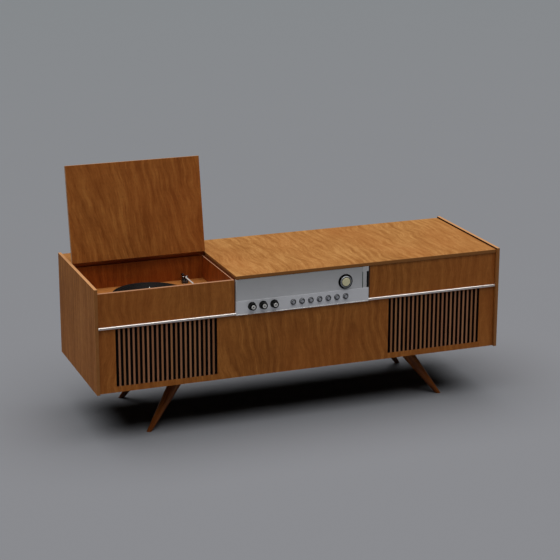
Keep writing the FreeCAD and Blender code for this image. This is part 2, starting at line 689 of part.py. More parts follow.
# Dial plate behind the fascia, with the slot that the pointer runs in.
plate = box("dial_blank", dial_lft - 10, fas_right - 1, fas_front + fas_deep, fas_front + fas_deep + 2,
            dial_low - 5, dial_high + 5)
cut("dial_scale", plate, [
    box("pointer_slot", 558, 946, fas_front + fas_deep - 1, fas_front + fas_deep + 3, 357, 360),
    cyl("tuning_hole", tune_x, fas_front + fas_deep - 1, tune_z, 5, 4, "y")])
py = fas_front + fas_deep
fuse("dial_pointer", [
    box("needle", 561, 562.4, py - 3, py - 1.6, dial_low + 3, dial_high - 3),
    box("needle_tab", 560, 563, py - 2.4, py + 3.5, 357.4, 359.6),
    box("needle_slider", 556, 567, py + 3, py + 5, 354, 363)], True)

# Chassis: floor and front plate of folded steel, with the shaft bushes.
cut("radio_chassis", fuse("chassis_blank", [
    box("chassis_floor", 565, 1045, 27, 250, low_high, low_high + 2),
    box("chassis_front", 565, 1045, 27, 29, low_high, 345)]), [
    cyl("bush_1", knob_x, 20, knob_z, shaft_rad + 0.05, 15, "y"),
    cyl("bush_2", knob_x + knob_pitch, 20, knob_z, shaft_rad + 0.05, 15, "y"),
    cyl("bush_3", knob_x + knob_pitch * 2, 20, knob_z, shaft_rad + 0.05, 15, "y"),
    cyl("bush_tuning", tune_x, 20, tune_z, shaft_rad + 0.05, 15, "y")] + [
    cyl("stem_hole_%d" % (i + 1), but_x + but_pitch * i, 20, but_z, 3.3, 15, "y") for i in range(7)])
box("power_transformer", 930, 1005, 150, 215, low_high + 2, low_high + 72, True)
tubes = []
for i, (tx, ty, tr, th) in enumerate(((620, 120, 10, 48), (680, 120, 10, 48), (740, 130, 10, 48), (800, 130, 13, 66),
                                      (860, 150, 13, 66))):
    tubes.append(turned("valve_%d" % (i + 1), tx, ty, low_high + 2,
                        [(0, 0), (tr + 1, 0), (tr + 1, 8), (tr, 9), (tr, th - 6), (tr - 4, th - 1), (1.5, th), (1, th + 4),
                         (0, th + 4)], keep=False))
group("valve_set", tubes)


def small_knob(label, x):
    """Grooved-skirt knob with its shaft, spun about an axis to the front."""
    nose = fas_front - knob_nose
    turned(label, x, fas_front, knob_z,
           [(0, -24), (shaft_rad, -24), (shaft_rad, 0.6), (knob_rad, 0.6), (knob_rad, 5), (knob_rad - 1.5, nose - 3),
            (knob_rad - 3, nose - 0.8), (9, nose - 0.8), (9, nose - 0.4), (8.4, nose), (0, nose)], "-y")


small_knob("volume_knob", knob_x)
small_knob("bass_knob", knob_x + knob_pitch)
small_knob("treble_knob", knob_x + knob_pitch * 2)
turned("tuning_knob", tune_x, fas_front + fas_deep, tune_z,
       [(0, -12), (shaft_rad, -12), (shaft_rad, 1), (tune_rad, 1), (tune_rad, 5), (tune_rad - 2, 7.5), (23, 7.5),
        (22, 18), (20.5, 19), (19, 19), (18.4, 20.5), (0, 20.5)], "-y")
for i in range(7):
    turned("push_button_%d" % (i + 1), but_x + but_pitch * i, fas_front, but_z,
           [(0, -26), (3, -26), (3, -4.5), (but_rad + 2, -4.5), (but_rad + 2, -3), (but_rad, -3), (but_rad, 5.2),
            (but_rad - 0.8, 6), (0, 6)], "-y")

# -------------------------------------------------------------------- output
doc.recompute()
bad = [o.Name for o in doc.Objects if "Invalid" in o.State or "Error" in o.State]
if bad:
    raise RuntimeError("failed objects: " + ", ".join(bad))
labels = [o.Label for o in parts]
if len(set(labels)) != len(labels):
    raise RuntimeError("two sub-parts share a label")
for o in parts:
    if o.Shape.isNull() or not o.Shape.isValid() or not o.Shape.Solids:
        raise RuntimeError("bad shape: " + o.Label)
os.makedirs("parts", exist_ok=True)
whole = FreeCAD.BoundBox()
for o in parts:
    o.Shape.exportStep("parts/%s.step" % o.Label)
    whole.add(o.Shape.BoundBox)
print(len(parts), "sub-parts, box", whole)
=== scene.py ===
import math
import bpy
import bmesh
from mathutils import Matrix, Vector


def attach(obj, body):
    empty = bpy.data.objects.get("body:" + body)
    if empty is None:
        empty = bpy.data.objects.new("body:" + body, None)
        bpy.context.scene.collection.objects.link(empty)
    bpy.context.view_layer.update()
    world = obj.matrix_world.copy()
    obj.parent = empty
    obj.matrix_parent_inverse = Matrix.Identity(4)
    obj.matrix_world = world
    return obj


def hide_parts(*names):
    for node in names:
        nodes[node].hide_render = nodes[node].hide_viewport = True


# Looks of the radio phonograph console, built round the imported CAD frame.
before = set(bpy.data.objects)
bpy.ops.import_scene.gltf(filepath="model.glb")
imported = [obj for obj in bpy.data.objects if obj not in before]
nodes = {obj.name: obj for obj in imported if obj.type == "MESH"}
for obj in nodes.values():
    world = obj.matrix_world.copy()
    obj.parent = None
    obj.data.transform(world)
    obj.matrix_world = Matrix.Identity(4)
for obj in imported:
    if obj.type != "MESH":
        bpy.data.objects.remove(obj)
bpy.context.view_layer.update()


def P(x, y, z):
    """A cabinet position in millimetres (x from the left side, y from the
    side panels' front edges, z from the underside) as a row point in metres."""
    return Vector((-0.810 + x / 1000.0, -0.2605 + y / 1000.0, 0.193 + z / 1000.0))


def lin(r, g, b):
    """Linear colour of an 8-bit sRGB one."""
    out = []
    for c in (r, g, b):
        c = c / 255.0
        out.append(c / 12.92 if c <= 0.04045 else ((c + 0.055) / 1.055) ** 2.4)
    return tuple(out)


# ---------------------------------------------------------------- materials
class Shade:
    """A small helper that strings shader nodes together."""

    def __init__(self, name):
        self.mat = bpy.data.materials.new(name)
        self.mat.use_nodes = True
        self.t = self.mat.node_tree
        self.t.nodes.clear()
        self.out = self.t.nodes.new("ShaderNodeOutputMaterial")
        self.b = self.t.nodes.new("ShaderNodeBsdfPrincipled")
        self.t.links.new(self.b.outputs[0], self.out.inputs[0])
        self._tc = None

    def put(self, sock, v):
        if isinstance(v, bpy.types.NodeSocket):
            self.t.links.new(v, sock)
        elif isinstance(v, (tuple, list, Vector)) and sock.type == "RGBA" and len(v) == 3:
            sock.default_value = (v[0], v[1], v[2], 1.0)
        else:
            sock.default_value = v

    def add(self, kind, ins=None, **props):
        n = self.t.nodes.new("ShaderNode" + kind)
        for k, v in props.items():
            setattr(n, k, v)
        for k, v in (ins or {}).items():
            self.put(n.inputs[k], v)
        return n

    def coord(self, which="Object"):
        if self._tc is None:
            self._tc = self.add("TexCoord")
        return self._tc.outputs[which]

    def math(self, op, a, b=0.0, c=None, clamp=False):
        n = self.add("Math", operation=op, use_clamp=clamp)
        self.put(n.inputs[0], a)
        self.put(n.inputs[1], b)
        if c is not None:
            self.put(n.inputs[2], c)
        return n.outputs[0]

    def vec(self, x, y, z):
        n = self.add("CombineXYZ")
        for i, v in enumerate((x, y, z)):
            self.put(n.inputs[i], v)
        return n.outputs[0]

    def split(self, v):
        n = self.add("SeparateXYZ")
        self.put(n.inputs[0], v)
        return n.outputs

    def noise(self, v, scale=1.0, detail=2.0, rough=0.5, dist=0.0):
        n = self.add("TexNoise", {"Vector": v, "Scale": scale, "Detail": detail,
                                  "Roughness": rough, "Distortion": dist})
        return n.outputs["Fac"]

    def ramp(self, fac, stops, interp="LINEAR"):
        n = self.add("ValToRGB", {"Fac": fac})
        r = n.color_ramp
        r.interpolation = interp
        while len(r.elements) > 1:
            r.elements.remove(r.elements[-1])
        r.elements[0].position = stops[0][0]
        for i, (p, c) in enumerate(stops):
            e = r.elements[0] if i == 0 else r.elements.new(p)
            e.color = (c, c, c, 1.0) if isinstance(c, (int, float)) else (c[0], c[1], c[2], 1.0)
        return n.outputs["Color"]

    def mix(self, fac, a, b, blend="MIX"):
        n = self.add("Mix", data_type="RGBA", blend_type=blend)
        self.put(n.inputs[0], fac)
        self.put(n.inputs[6], a)
        self.put(n.inputs[7], b)
        return n.outputs[2]

    def span(self, v, a, b, c, d):
        """Map a..b to c..d, clamped."""
        n = self.add("MapRange", {"Value": v, "From Min": a, "From Max": b, "To Min": c, "To Max": d})
        n.clamp = True
        return n.outputs["Result"]

    def bump(self, height, strength, distance, chain=None):
        n = self.add("Bump", {"Height": height, "Strength": strength, "Distance": distance})
        if chain is not None:
            self.put(n.inputs["Normal"], chain)
        return n.outputs["Normal"]

    def set(self, **kw):
        names = {"color": "Base Color", "rough": "Roughness", "metal": "Metallic", "spec": "Specular IOR Level",
                 "normal": "Normal", "coat": "Coat Weight", "coat_rough": "Coat Roughness", "ior": "IOR",
                 "sheen": "Sheen Weight", "sheen_rough": "Sheen Roughness", "trans": "Transmission Weight",
                 "aniso": "Anisotropic", "sss": "Subsurface Weight", "alpha": "Alpha"}
        for k, v in kw.items():
            self.put(self.b.inputs[names[k]], v)
        return self


def wood(name, dark, mid, light, cross="x", grain="z", seed=0.0, figure=1.0, wave=1.0, rings=1.0, rough=0.46,
         spec=0.14, edge=None, face=None, turn=None, streak=62.0, pore=1.0, patch=0.35, lengthwise=6.0, tint=None,
         slant=0.0, edge_up_painted_light=None):
    """Figured veneer.  cross and grain are the object's own axes across and
    along the grain; edge is the colour of the solid lipping, shown where the
    surface doesn't face along the axis `face`."""
    s = Shade(name)
    co = s.coord("Object")
    if turn is not None:
        co = s.add("Mapping", {"Vector": co, "Location": turn[0], "Rotation": turn[1]}).outputs[0]
    ax = dict(zip("xyz", s.split(co)))
    u, v = ax[cross], ax[grain]
    third = [a for a in "xyz" if a not in (cross, grain)][0]
    w = s.math("ADD", s.math("MULTIPLY", ax[third], 0.6), seed)
    if slant:
        u = s.math("ADD", u, s.math("MULTIPLY", v, slant))
    # slow sideways wander of the grain
    wander = s.noise(s.vec(s.math("MULTIPLY", u, 2.6), s.math("MULTIPLY", v, 3.6), w), 1.0, 2.0, 0.5)
    ripple = s.noise(s.vec(s.math("MULTIPLY", u, 13.0), s.math("MULTIPLY", v, 13.0), w), 1.0, 2.0, 0.55)
    u2 = s.math("ADD", u, s.math("MULTIPLY", s.math("SUBTRACT", wander, 0.5), 0.13 * wave))
    u2 = s.math("ADD", u2, s.math("MULTIPLY", s.math("SUBTRACT", ripple, 0.5), 0.020 * wave))
    # figure: soft flames some 12 mm wide and a hand long, and finer ones
    fig = s.noise(s.vec(s.math("MULTIPLY", u2, streak), s.math("MULTIPLY", v, lengthwise), w), 1.0, 2.0, 0.5)
    flame = s.noise(s.vec(s.math("MULTIPLY", u2, streak * 2.4), s.math("MULTIPLY", v, lengthwise * 2.6),
                          s.math("ADD", w, 3.1)), 1.0, 3.0, 0.6)
    # flat-cut growth rings: long arches in leaves of veneer, book-matched
    leaf = s.math("PINGPONG", s.math("ADD", u2, 3.0 + seed * 0.11), 0.27)
    leaf = s.math("SUBTRACT", leaf, 0.12)
    rise = s.math("ADD", s.math("MULTIPLY", v, 0.06), 0.05)
    n = s.add("VectorMath", operation="LENGTH")
    s.put(n.inputs[0], s.vec(leaf, rise, 0.0))
    broad = s.math("ADD", s.math("MULTIPLY", n.outputs["Value"], 270.0), s.math("MULTIPLY", wander, 7.0))
    narrow = s.math("ADD", s.math("MULTIPLY", n.outputs["Value"], 820.0), s.math("MULTIPLY", wander, 15.0))
    ring = s.math("ADD", s.math("MULTIPLY_ADD", s.math("SINE", broad), 0.36, 0.5),
                  s.math("MULTIPLY", s.math("SINE", narrow), 0.16))
    ring = s.math("MULTIPLY_ADD", s.math("SUBTRACT", ring, 0.5), s.math("MULTIPLY_ADD", flame, 1.6, 0.1), 0.5)
    fine = s.noise(s.vec(s.math("MULTIPLY", u2, 560.0), s.math("MULTIPLY", v, 20.0), w), 1.0, 3.0, 0.6)
    pores = s.noise(s.vec(s.math("MULTIPLY", u2, 1500.0), s.math("MULTIPLY", v, 70.0), w), 1.0, 1.0, 0.4)
    fleck = s.noise(s.vec(s.math("MULTIPLY", u2, 230.0), s.math("MULTIPLY", v, 34.0), s.math("ADD", w, 1.7)),
                    1.0, 2.0, 0.6)
    cross_fig = s.noise(s.vec(s.math("MULTIPLY", u, 16.0), s.math("MULTIPLY", v, 42.0), w), 1.0, 2.0, 0.5)
    blot = s.noise(s.vec(s.math("MULTIPLY", u, 5.0), s.math("MULTIPLY", v, 2.4), w), 1.0, 2.0, 0.5)
    f = s.math("ADD", s.math("MULTIPLY", s.math("SUBTRACT", fig, 0.5), 2.3 * figure), 0.5)
    f = s.math("ADD", f, s.math("MULTIPLY", s.math("SUBTRACT", flame, 0.5), 1.5 * figure))
    f = s.math("ADD", f, s.math("MULTIPLY", s.math("SUBTRACT", ring, 0.5), 0.42 * rings))
    f = s.math("ADD", f, s.math("MULTIPLY", s.math("SUBTRACT", fine, 0.5), 0.75))
    f = s.math("ADD", f, s.math("MULTIPLY", s.math("SUBTRACT", fleck, 0.5), 0.85))
    f = s.math("ADD", f, s.math("MULTIPLY", s.math("SUBTRACT", cross_fig, 0.5), 0.30))
    f = s.math("ADD", f, s.math("MULTIPLY", s.math("SUBTRACT", blot, 0.5), 0.80))
    col = s.ramp(f, [(0.0, dark), (0.5, mid), (1.0, light)])
    # a redder cast in soft patches
    red = (mid[0] * 1.02, mid[1] * 0.80, mid[2] * 0.72)
    pt = s.span(s.noise(s.vec(s.math("MULTIPLY", u, 3.4), s.math("MULTIPLY", v, 1.7), s.math("ADD", w, 7.3)),
                        1.0, 2.0, 0.5), 0.42, 0.68, 0.0, patch)
    col = s.mix(pt, col, red)
    pm = s.span(pores, 0.58, 0.72, 0.0, 0.50 * pore)
    col = s.mix(pm, col, tuple(c * 0.42 for c in dark))
    if tint is not None:
        col = tint(s, ax, col)
    if edge is not None:
        nrm = dict(zip("xyz", s.split(s.coord("Normal"))))
        on_face = s.span(s.math("ABSOLUTE", nrm[face]), 0.55, 0.75, 0.0, 1.0)
        ec = s.mix(s.span(fine, 0.3, 0.7, 0.0, 1.0), tuple(c * 0.82 for c in edge), edge)
        # Painted light: edges that face up get a paler colour, as if lit from above.
        if edge_up_painted_light is not None:
            ec = s.mix(s.span(nrm["z"], 0.45, 0.65, 0.0, 1.0), ec, edge_up_painted_light)
        col = s.mix(on_face, ec, col)
    rg = s.math("ADD", rough - 0.06, s.math("MULTIPLY", fine, 0.12))
    nb = s.bump(s.math("ADD", s.math("MULTIPLY", fine, 0.5), s.math("MULTIPLY", pm, -1.2)), 0.35, 0.0002)
    s.set(color=col, rough=rg, spec=spec, normal=nb)
    return s.mat


def metal(name, base, rough=0.32, brush=None, scale=900.0, amount=0.10, spec=0.5, metallic=1.0, worn=0.15, aniso=0.0):
    """Metal with fine brushing along `brush` (x, y, z or None for cast)."""
    s = Shade(name)
    ax = dict(zip("xyz", s.split(s.coord("Object"))))
    if brush:
        parts = [s.math("MULTIPLY", ax[a], scale * (0.02 if a == brush else 1.0)) for a in "xyz"]
        grain = s.noise(s.vec(*parts), 1.0, 3.0, 0.6)
    else:
        grain = s.noise(s.coord("Object"), scale, 3.0, 0.6)
    cloud = s.noise(s.coord("Object"), 14.0, 3.0, 0.6)
    col = s.mix(s.span(cloud, 0.35, 0.7, 0.0, worn), base, tuple(c * 0.62 for c in base))
    col = s.mix(s.span(grain, 0.3, 0.7, 0.0, amount * 2), col, tuple(min(1.0, c * 1.12) for c in base))
    rg = s.math("ADD", rough - 0.05, s.math("MULTIPLY", grain, 0.10))
    s.set(color=col, rough=rg, metal=metallic, spec=spec, normal=s.bump(grain, 0.12, 0.00006))
    if aniso:
        s.set(aniso=aniso)
    return s.mat


def fascia_metal(name, base):
    """Painted, faintly brushed metal, a tone darker above the control strip."""
    s = Shade(name)
    ax = dict(zip("xyz", s.split(s.coord("Object"))))
    grain = s.noise(s.vec(s.math("MULTIPLY", ax["x"], 16.0), s.math("MULTIPLY", ax["y"], 800.0),
                          s.math("MULTIPLY", ax["z"], 800.0)), 1.0, 3.0, 0.6)
    cloud = s.noise(s.coord("Object"), 14.0, 3.0, 0.6)
    col = s.mix(s.span(cloud, 0.35, 0.7, 0.0, 0.07), base, tuple(c * 0.62 for c in base))
    col = s.mix(s.span(grain, 0.3, 0.7, 0.0, 0.12), col, tuple(c * 0.80 for c in base))
    field = s.math("GREATER_THAN", ax["z"], P(0, 0, 297.6).z)
    col = s.mix(s.math("MULTIPLY", field, 0.62), col, (0.46, 0.455, 0.435))
    # Painted shade: the walls of the narrow end window are coloured near-black.
    end = s.math("MULTIPLY", s.math("GREATER_THAN", ax["x"], P(1060.9, 0, 0).x),
                 s.math("MULTIPLY", s.math("GREATER_THAN", ax["z"], P(0, 0, 297.8).z),
                        s.math("LESS_THAN", ax["z"], P(0, 0, 361.6).z)))
    col = s.mix(end, col, (0.018, 0.016, 0.015))
    s.set(color=col, rough=s.math("ADD", 0.41, s.math("MULTIPLY", grain, 0.10)), metal=0.15, spec=0.5,
          normal=s.bump(grain, 0.10, 0.00005))
    return s.mat


def plastic(name, base, rough=0.35, spec=0.5, grain=1400.0, depth=0.00004, wear=None, coat=0.0, vary=0.25):
    s = Shade(name)
    fine = s.noise(s.coord("Object"), grain, 2.0, 0.5)
    cloud = s.noise(s.coord("Object"), 22.0, 3.0, 0.55)
    col = s.mix(s.span(cloud, 0.35, 0.7, 0.0, vary), base, tuple(min(1.0, c * 1.35 + 0.004) for c in base))
    if wear is not None:
        g = s.add("NewGeometry")
        e = s.span(g.outputs["Pointiness"], 0.51, 0.56, 0.0, 0.5)
        col = s.mix(e, col, wear)
    rg = s.math("ADD", rough - 0.04, s.math("MULTIPLY", cloud, 0.10))
    s.set(color=col, rough=rg, spec=spec, normal=s.bump(fine, 0.15, depth))
    if coat:
        s.set(coat=coat, coat_rough=0.08)
    return s.mat


def cloth(name):
    """Open-weave loudspeaker cloth: over-and-under threads about 1 mm apart."""
    s = Shade(name)
    ax = dict(zip("xyz", s.split(s.coord("Object"))))
    a = s.math("SINE", s.math("MULTIPLY", ax["x"], 6283.0 / 1.1))
    b = s.math("SINE", s.math("MULTIPLY", ax["z"], 6283.0 / 1.1))
    over = s.math("MULTIPLY", a, b)
    fuzz = s.noise(s.coord("Object"), 1500.0, 2.0, 0.6)
    thread = s.math("ADD", s.math("MULTIPLY", over, 0.5), s.math("MULTIPLY", fuzz, 0.4))
    col = s.mix(s.span(thread, -0.2, 0.7, 0.0, 1.0), (0.0025, 0.0024, 0.0024), (0.012, 0.011, 0.011))
    s.set(color=col, rough=0.9, spec=0.1, sheen=0.06, sheen_rough=0.5, normal=s.bump(thread, 0.6, 0.0003))
    return s.mat


def rubber(name, base=(0.012, 0.012, 0.013), rough=0.42, spec=0.5):
    s = Shade(name)
    dust = s.noise(s.coord("Object"), 30.0, 4.0, 0.6)
    fine = s.noise(s.coord("Object"), 2200.0, 2.0, 0.5)
    col = s.mix(s.span(dust, 0.45, 0.75, 0.0, 0.35), base, tuple(c * 2.2 for c in base))
    s.set(color=col, rough=s.math("ADD", rough, s.math("MULTIPLY", dust, 0.18)), spec=spec,
          normal=s.bump(fine, 0.2, 0.00005))
    return s.mat


def board(name, base, fleck=1.0, scale=260.0, rough=0.8):
    """Plain or pressed board: matted fibres."""
    s = Shade(name)
    co = s.coord("Object")
    ax = dict(zip("xyz", s.split(co)))
    f1 = s.noise(co, scale, 4.0, 0.7, 0.6)
    f2 = s.noise(s.vec(s.math("MULTIPLY", ax["x"], 900.0), s.math("MULTIPLY", ax["y"], 900.0),
                       s.math("MULTIPLY", ax["z"], 60.0)), 1.0, 2.0, 0.6)
    cloud = s.noise(co, 6.0, 3.0, 0.6)
    col = s.mix(s.span(f1, 0.3, 0.7, 0.0, 1.0), tuple(c * (1 - 0.32 * fleck) for c in base),
                tuple(min(1.0, c * (1 + 0.22 * fleck)) for c in base))
    col = s.mix(s.span(f2, 0.62, 0.8, 0.0, 0.5 * fleck), col, tuple(c * 0.5 for c in base))
    col = s.mix(s.span(cloud, 0.4, 0.75, 0.0, 0.3), col, tuple(c * 0.72 for c in base))
    s.set(color=col, rough=rough, spec=0.25,
          normal=s.bump(s.math("ADD", f1, s.math("MULTIPLY", f2, 0.5)), 0.4, 0.0003))
    return s.mat


FRONT_WOOD = ((0.285, 0.089, 0.0150), (0.405, 0.139, 0.0262), (0.530, 0.200, 0.0424))
M = {}


def joint_painted_shade(s, ax, col):
    """Painted shade: fine dark lines in the joints where the fronts meet the sides."""
    x = ax["x"]
    total = None
    for a, b in ((11.0, 13.2), (1606.8, 1609.0)):
        on = s.math("MULTIPLY", s.math("GREATER_THAN", x, P(a, 0, 0).x), s.math("LESS_THAN", x, P(b, 0, 0).x))
        total = on if total is None else s.math("ADD", total, on)
    # painted shade in the joints: these bands are mixed toward near-black
    return s.mix(s.math("MULTIPLY", total, 0.75), col, (0.030, 0.0075, 0.0022))


M["front"] = wood("veneer_front", *FRONT_WOOD, "x", "z", 1.3, figure=0.42, wave=0.80, edge=(0.48, 0.240, 0.130),
                  face="y", streak=50.0, lengthwise=5.5, rings=1.1, tint=joint_painted_shade)


def slat_tint(s, ax, col):
    """The slats between the slots are a shade paler, each its own shade."""
    x, z = ax["x"], ax["z"]
    inz = s.math("MULTIPLY", s.math("GREATER_THAN", z, P(0, 0, 22.5).z), s.math("LESS_THAN", z, P(0, 0, 241.5).z))
    total = None
    for x0 in (77.5, 1156.55):
        a, b = P(x0 + 9.0, 0, 0).x, P(x0 + 21 * 17.95, 0, 0).x
        inx = s.math("MULTIPLY", s.math("GREATER_THAN", x, a - 0.0001), s.math("LESS_THAN", x, b + 0.0001))
        total = inx if total is None else s.math("ADD", total, inx)
    mask = s.math("MULTIPLY", inz, total)
    number = s.math("FLOOR", s.math("MULTIPLY", s.math("SUBTRACT", x, P(77.5 + 4.5, 0, 0).x), 1 / 0.01795))
    dice = s.add("TexWhiteNoise", {"W": number}, noise_dimensions="1D")
    shade = s.ramp(dice.outputs["Value"], [(0.0, (0.350, 0.165, 0.085)), (0.35, (0.460, 0.230, 0.110)),
                                           (0.65, (0.410, 0.200, 0.120)), (1.0, (0.520, 0.270, 0.150))])
    pale = s.mix(0.70, col, shade)
    out = s.mix(mask, col, pale)
    # the slat faces are darkened in a narrow band along each slot's arris, to the near-black of the slot walls
    for x0 in (77.5, 1156.55):
        a, b = P(x0 - 0.8, 0, 0).x, P(x0 + 21 * 17.95 + 9.8, 0, 0).x
        rest = s.math("SUBTRACT", x, P(x0, 0, 0).x)
        place = s.math("PINGPONG", s.math("SUBTRACT", rest, 0.0045 - 0.01795 * 40), 0.008975)
        near = s.math("LESS_THAN", place, 0.0045 + 0.00075)
        inx = s.math("MULTIPLY", s.math("GREATER_THAN", x, a), s.math("LESS_THAN", x, b))
        out = s.mix(s.math("MULTIPLY", s.math("MULTIPLY", near, inx), inz), out, (0.030, 0.008, 0.003))
    return joint_painted_shade(s, ax, out)


M["slats"] = wood("veneer_slats", *FRONT_WOOD, "x", "z", 1.3, figure=0.50, wave=0.80,
                  edge=(0.024, 0.0048, 0.0012), face="y", streak=50.0, lengthwise=5.5, rings=1.2, tint=slat_tint)


def side_tint(s, ax, col):
    """The right side's inner face above the top board is in deep shade."""
    on = s.math("MULTIPLY", s.math("GREATER_THAN", ax["z"], P(0, 0, 394.1).z),
                s.math("MULTIPLY", s.math("GREATER_THAN", ax["x"], P(1600, 0, 0).x),
                       s.math("LESS_THAN", ax["x"], P(1609.0, 0, 0).x)))
    return s.mix(on, col, (0.020, 0.006, 0.002))


# The side's up-facing edges are painted paler, as painted light from above.
M["side"] = wood("veneer_side", (0.315, 0.110, 0.0255), (0.440, 0.168, 0.0440), (0.560, 0.232, 0.0670),
                 "y", "z", 4.1, figure=0.75, wave=0.22, rings=0.6, edge=(0.40, 0.165, 0.052), face="x", streak=95.0,
                 patch=0.15, spec=0.05, rough=0.60, lengthwise=3.5, edge_up_painted_light=(0.58, 0.29, 0.125), tint=side_tint)
M["top"] = wood("veneer_top", (0.325, 0.128, 0.0300), (0.428, 0.187, 0.0510), (0.540, 0.262, 0.0820),
                "x", "y", 2.7, figure=0.80, wave=0.8, rings=0.7, edge=(0.34, 0.135, 0.036), face="z", streak=54.0,
                lengthwise=6.0)


def lid_tint(s, ax, col):
    """The lid's outer face carries the paler veneer of the fixed top."""
    outer = s.span(s.split(s.coord("Normal"))[1], 0.4, 0.6, 0.0, 1.0)
    return s.mix(outer, col, (1.06, 1.37, 1.82), "MULTIPLY")


M["lid"] = wood("veneer_lid", (0.280, 0.084, 0.0155), (0.405, 0.136, 0.0275), (0.525, 0.200, 0.0440),
                "x", "z", 8.9, figure=0.80, wave=0.75, rings=0.9, edge=(0.60, 0.32, 0.16), face="y",
                turn=((0.0, 0.0, 0.0), (math.radians(10.0), 0.0, 0.0)), streak=44.0, slant=0.14, lengthwise=5.0,
                tint=lid_tint)


def wall_painted_shade(s, ax, col):
    """Painted shade: the wall is darker towards its top, under the lid's edge."""
    shade_toward_top = s.span(ax["z"], P(0, 0, 345).z, P(0, 0, 377).z, 0.0, 0.42)
    return s.mix(shade_toward_top, col, (0.070, 0.013, 0.002))


M["inside"] = wood("veneer_inside", (0.200, 0.042, 0.0065), (0.300, 0.072, 0.0110), (0.400, 0.108, 0.0180),
                   "x", "z", 5.5, figure=0.28, wave=0.5, tint=wall_painted_shade)


def step_painted_shade_and_highlight(s, ax, col):
    """Painted shade and highlight: the partition's upper step is painted dark as shade, and its well-side arris is
    painted pale as a highlight.
    """
    top = s.math("GREATER_THAN", ax["z"], P(0, 0, 379.0).z)
    arris = s.math("LESS_THAN", ax["x"], P(530.2, 0, 0).x)
    # painted highlight on the arris, painted shade on the rest of the step
    colour = s.mix(arris, (0.090, 0.018, 0.0040), (0.62, 0.34, 0.20))
    return s.mix(top, col, colour)


M["part"] = wood("veneer_partition", (0.200, 0.042, 0.0065), (0.325, 0.074, 0.0110), (0.430, 0.110, 0.0180),
                 "y", "z", 6.1, figure=0.32, wave=0.5, tint=step_painted_shade_and_highlight)
M["deck"] = wood("veneer_deck", (0.330, 0.120, 0.0260), (0.440, 0.170, 0.0400), (0.540, 0.230, 0.0600),
                 "y", "x", 9.7, figure=0.7, wave=0.5)
M["plain"] = board("plain_board", (0.40, 0.27, 0.15), 0.6, 180.0, 0.7)
# Painted shade: the unseen underside board is near-black so less light bounces under the cabinet and its shadow on the
# floor is deeper.
M["dusk"] = board("underside_shade_board", (0.060, 0.040, 0.026), 0.6, 180.0, 0.75)
M["hard"] = board("hardboard", (0.17, 0.095, 0.050), 1.0, 420.0, 0.72)
M["rail"] = metal("bright_rail", (0.93, 0.87, 0.83), 0.34, "x", 700.0, 0.06, worn=0.06)
M["fascia"] = fascia_metal("fascia_metal", (0.86, 0.865, 0.895))
M["lip"] = metal("fascia_lip", (0.84, 0.81, 0.78), 0.36, "x", 800.0, 0.05, worn=0.06, metallic=0.2)
M["dial"] = metal("dial_grey", (0.56, 0.585, 0.60), 0.46, "x", 600.0, 0.10, worn=0.06, metallic=0.15)
M["mark"] = plastic("dial_marks", (0.40, 0.41, 0.42), 0.45, 0.4, 900.0, 0.00002, vary=0.05)
M["green"] = plastic("pane_edge", (0.085, 0.115, 0.098), 0.2, 0.5, 900.0, 0.00001, vary=0.2)
M["dark"] = plastic("window_dark", (0.006, 0.006, 0.006), 0.5, 0.3, 900.0, 0.00002)
M["needle"] = plastic("pointer_dark", (0.030, 0.034, 0.032), 0.35, 0.5, vary=0.1)
M["black"] = plastic("knob_black", (0.0022, 0.0021, 0.0020), 0.34, 0.12, 1800.0, 0.00002)
M["blackmatt"] = plastic("black_plastic", (0.014, 0.0138, 0.0135), 0.42, 0.5, 1500.0, 0.00005)
M["enamel"] = plastic("black_enamel", (0.010, 0.010, 0.011), 0.18, 0.5, 700.0, 0.00001, coat=0.5)
M["white"] = plastic("white_enamel", (0.80, 0.79, 0.75), 0.24, 0.5, 700.0, 0.00001, coat=0.4, vary=0.05)
M["cap"] = metal("knob_cap", (0.84, 0.82, 0.78), 0.30, None, 1500.0, 0.10, metallic=0.5)
M["capdark"] = plastic("cap_recess", (0.05, 0.048, 0.045), 0.4, 0.4)
M["ring"] = metal("grey_ring", (0.40, 0.41, 0.42), 0.34, None, 1400.0, 0.08, metallic=0.6)
M["cream"] = plastic("cream_face", (0.86, 0.80, 0.50), 0.38, 0.45, 1000.0, 0.00002, vary=0.12)
M["button"] = metal("button_metal", (0.50, 0.51, 0.54), 0.34, None, 1500.0, 0.08, metallic=0.5)
M["alu"] = metal("cast_aluminium", (0.70, 0.70, 0.71), 0.34, None, 1200.0, 0.10)
M["bright"] = metal("polished_steel", (0.82, 0.82, 0.80), 0.12, None, 500.0, 0.03)
M["steel"] = metal("zinc_steel", (0.52, 0.52, 0.50), 0.40, None, 500.0, 0.20, worn=0.35)
M["pressed"] = metal("pressed_steel", (0.46, 0.46, 0.45), 0.42, None, 420.0, 0.15, worn=0.30)
M["brass"] = metal("brass", (0.66, 0.49, 0.23), 0.34, "x", 500.0, 0.10, worn=0.40)
M["bronze"] = metal("browned_brass", (0.42, 0.170, 0.060), 0.48, "x", 500.0, 0.10, worn=0.30, metallic=0.25)
M["rubber"] = rubber("black_rubber")
M["mat"] = rubber("platter_rubber", (0.0055, 0.0052, 0.0052), 0.46, 0.22)
M["cloth"] = cloth("black_cloth")
M["paper"] = board("cone_paper", (0.075, 0.068, 0.060), 0.6, 500.0, 0.9)
M["iron"] = metal("magnet_iron", (0.16, 0.16, 0.165), 0.55, None, 300.0, 0.2, metallic=0.6)

s = Shade("dial_glass")
smear = s.noise(s.coord("Object"), 40.0, 3.0, 0.6)
hair = s.noise(s.vec(s.math("MULTIPLY", s.split(s.coord("Object"))[0], 14.0), 0.0,
                     s.math("MULTIPLY", s.split(s.coord("Object"))[2], 900.0)), 1.0, 2.0, 0.6)
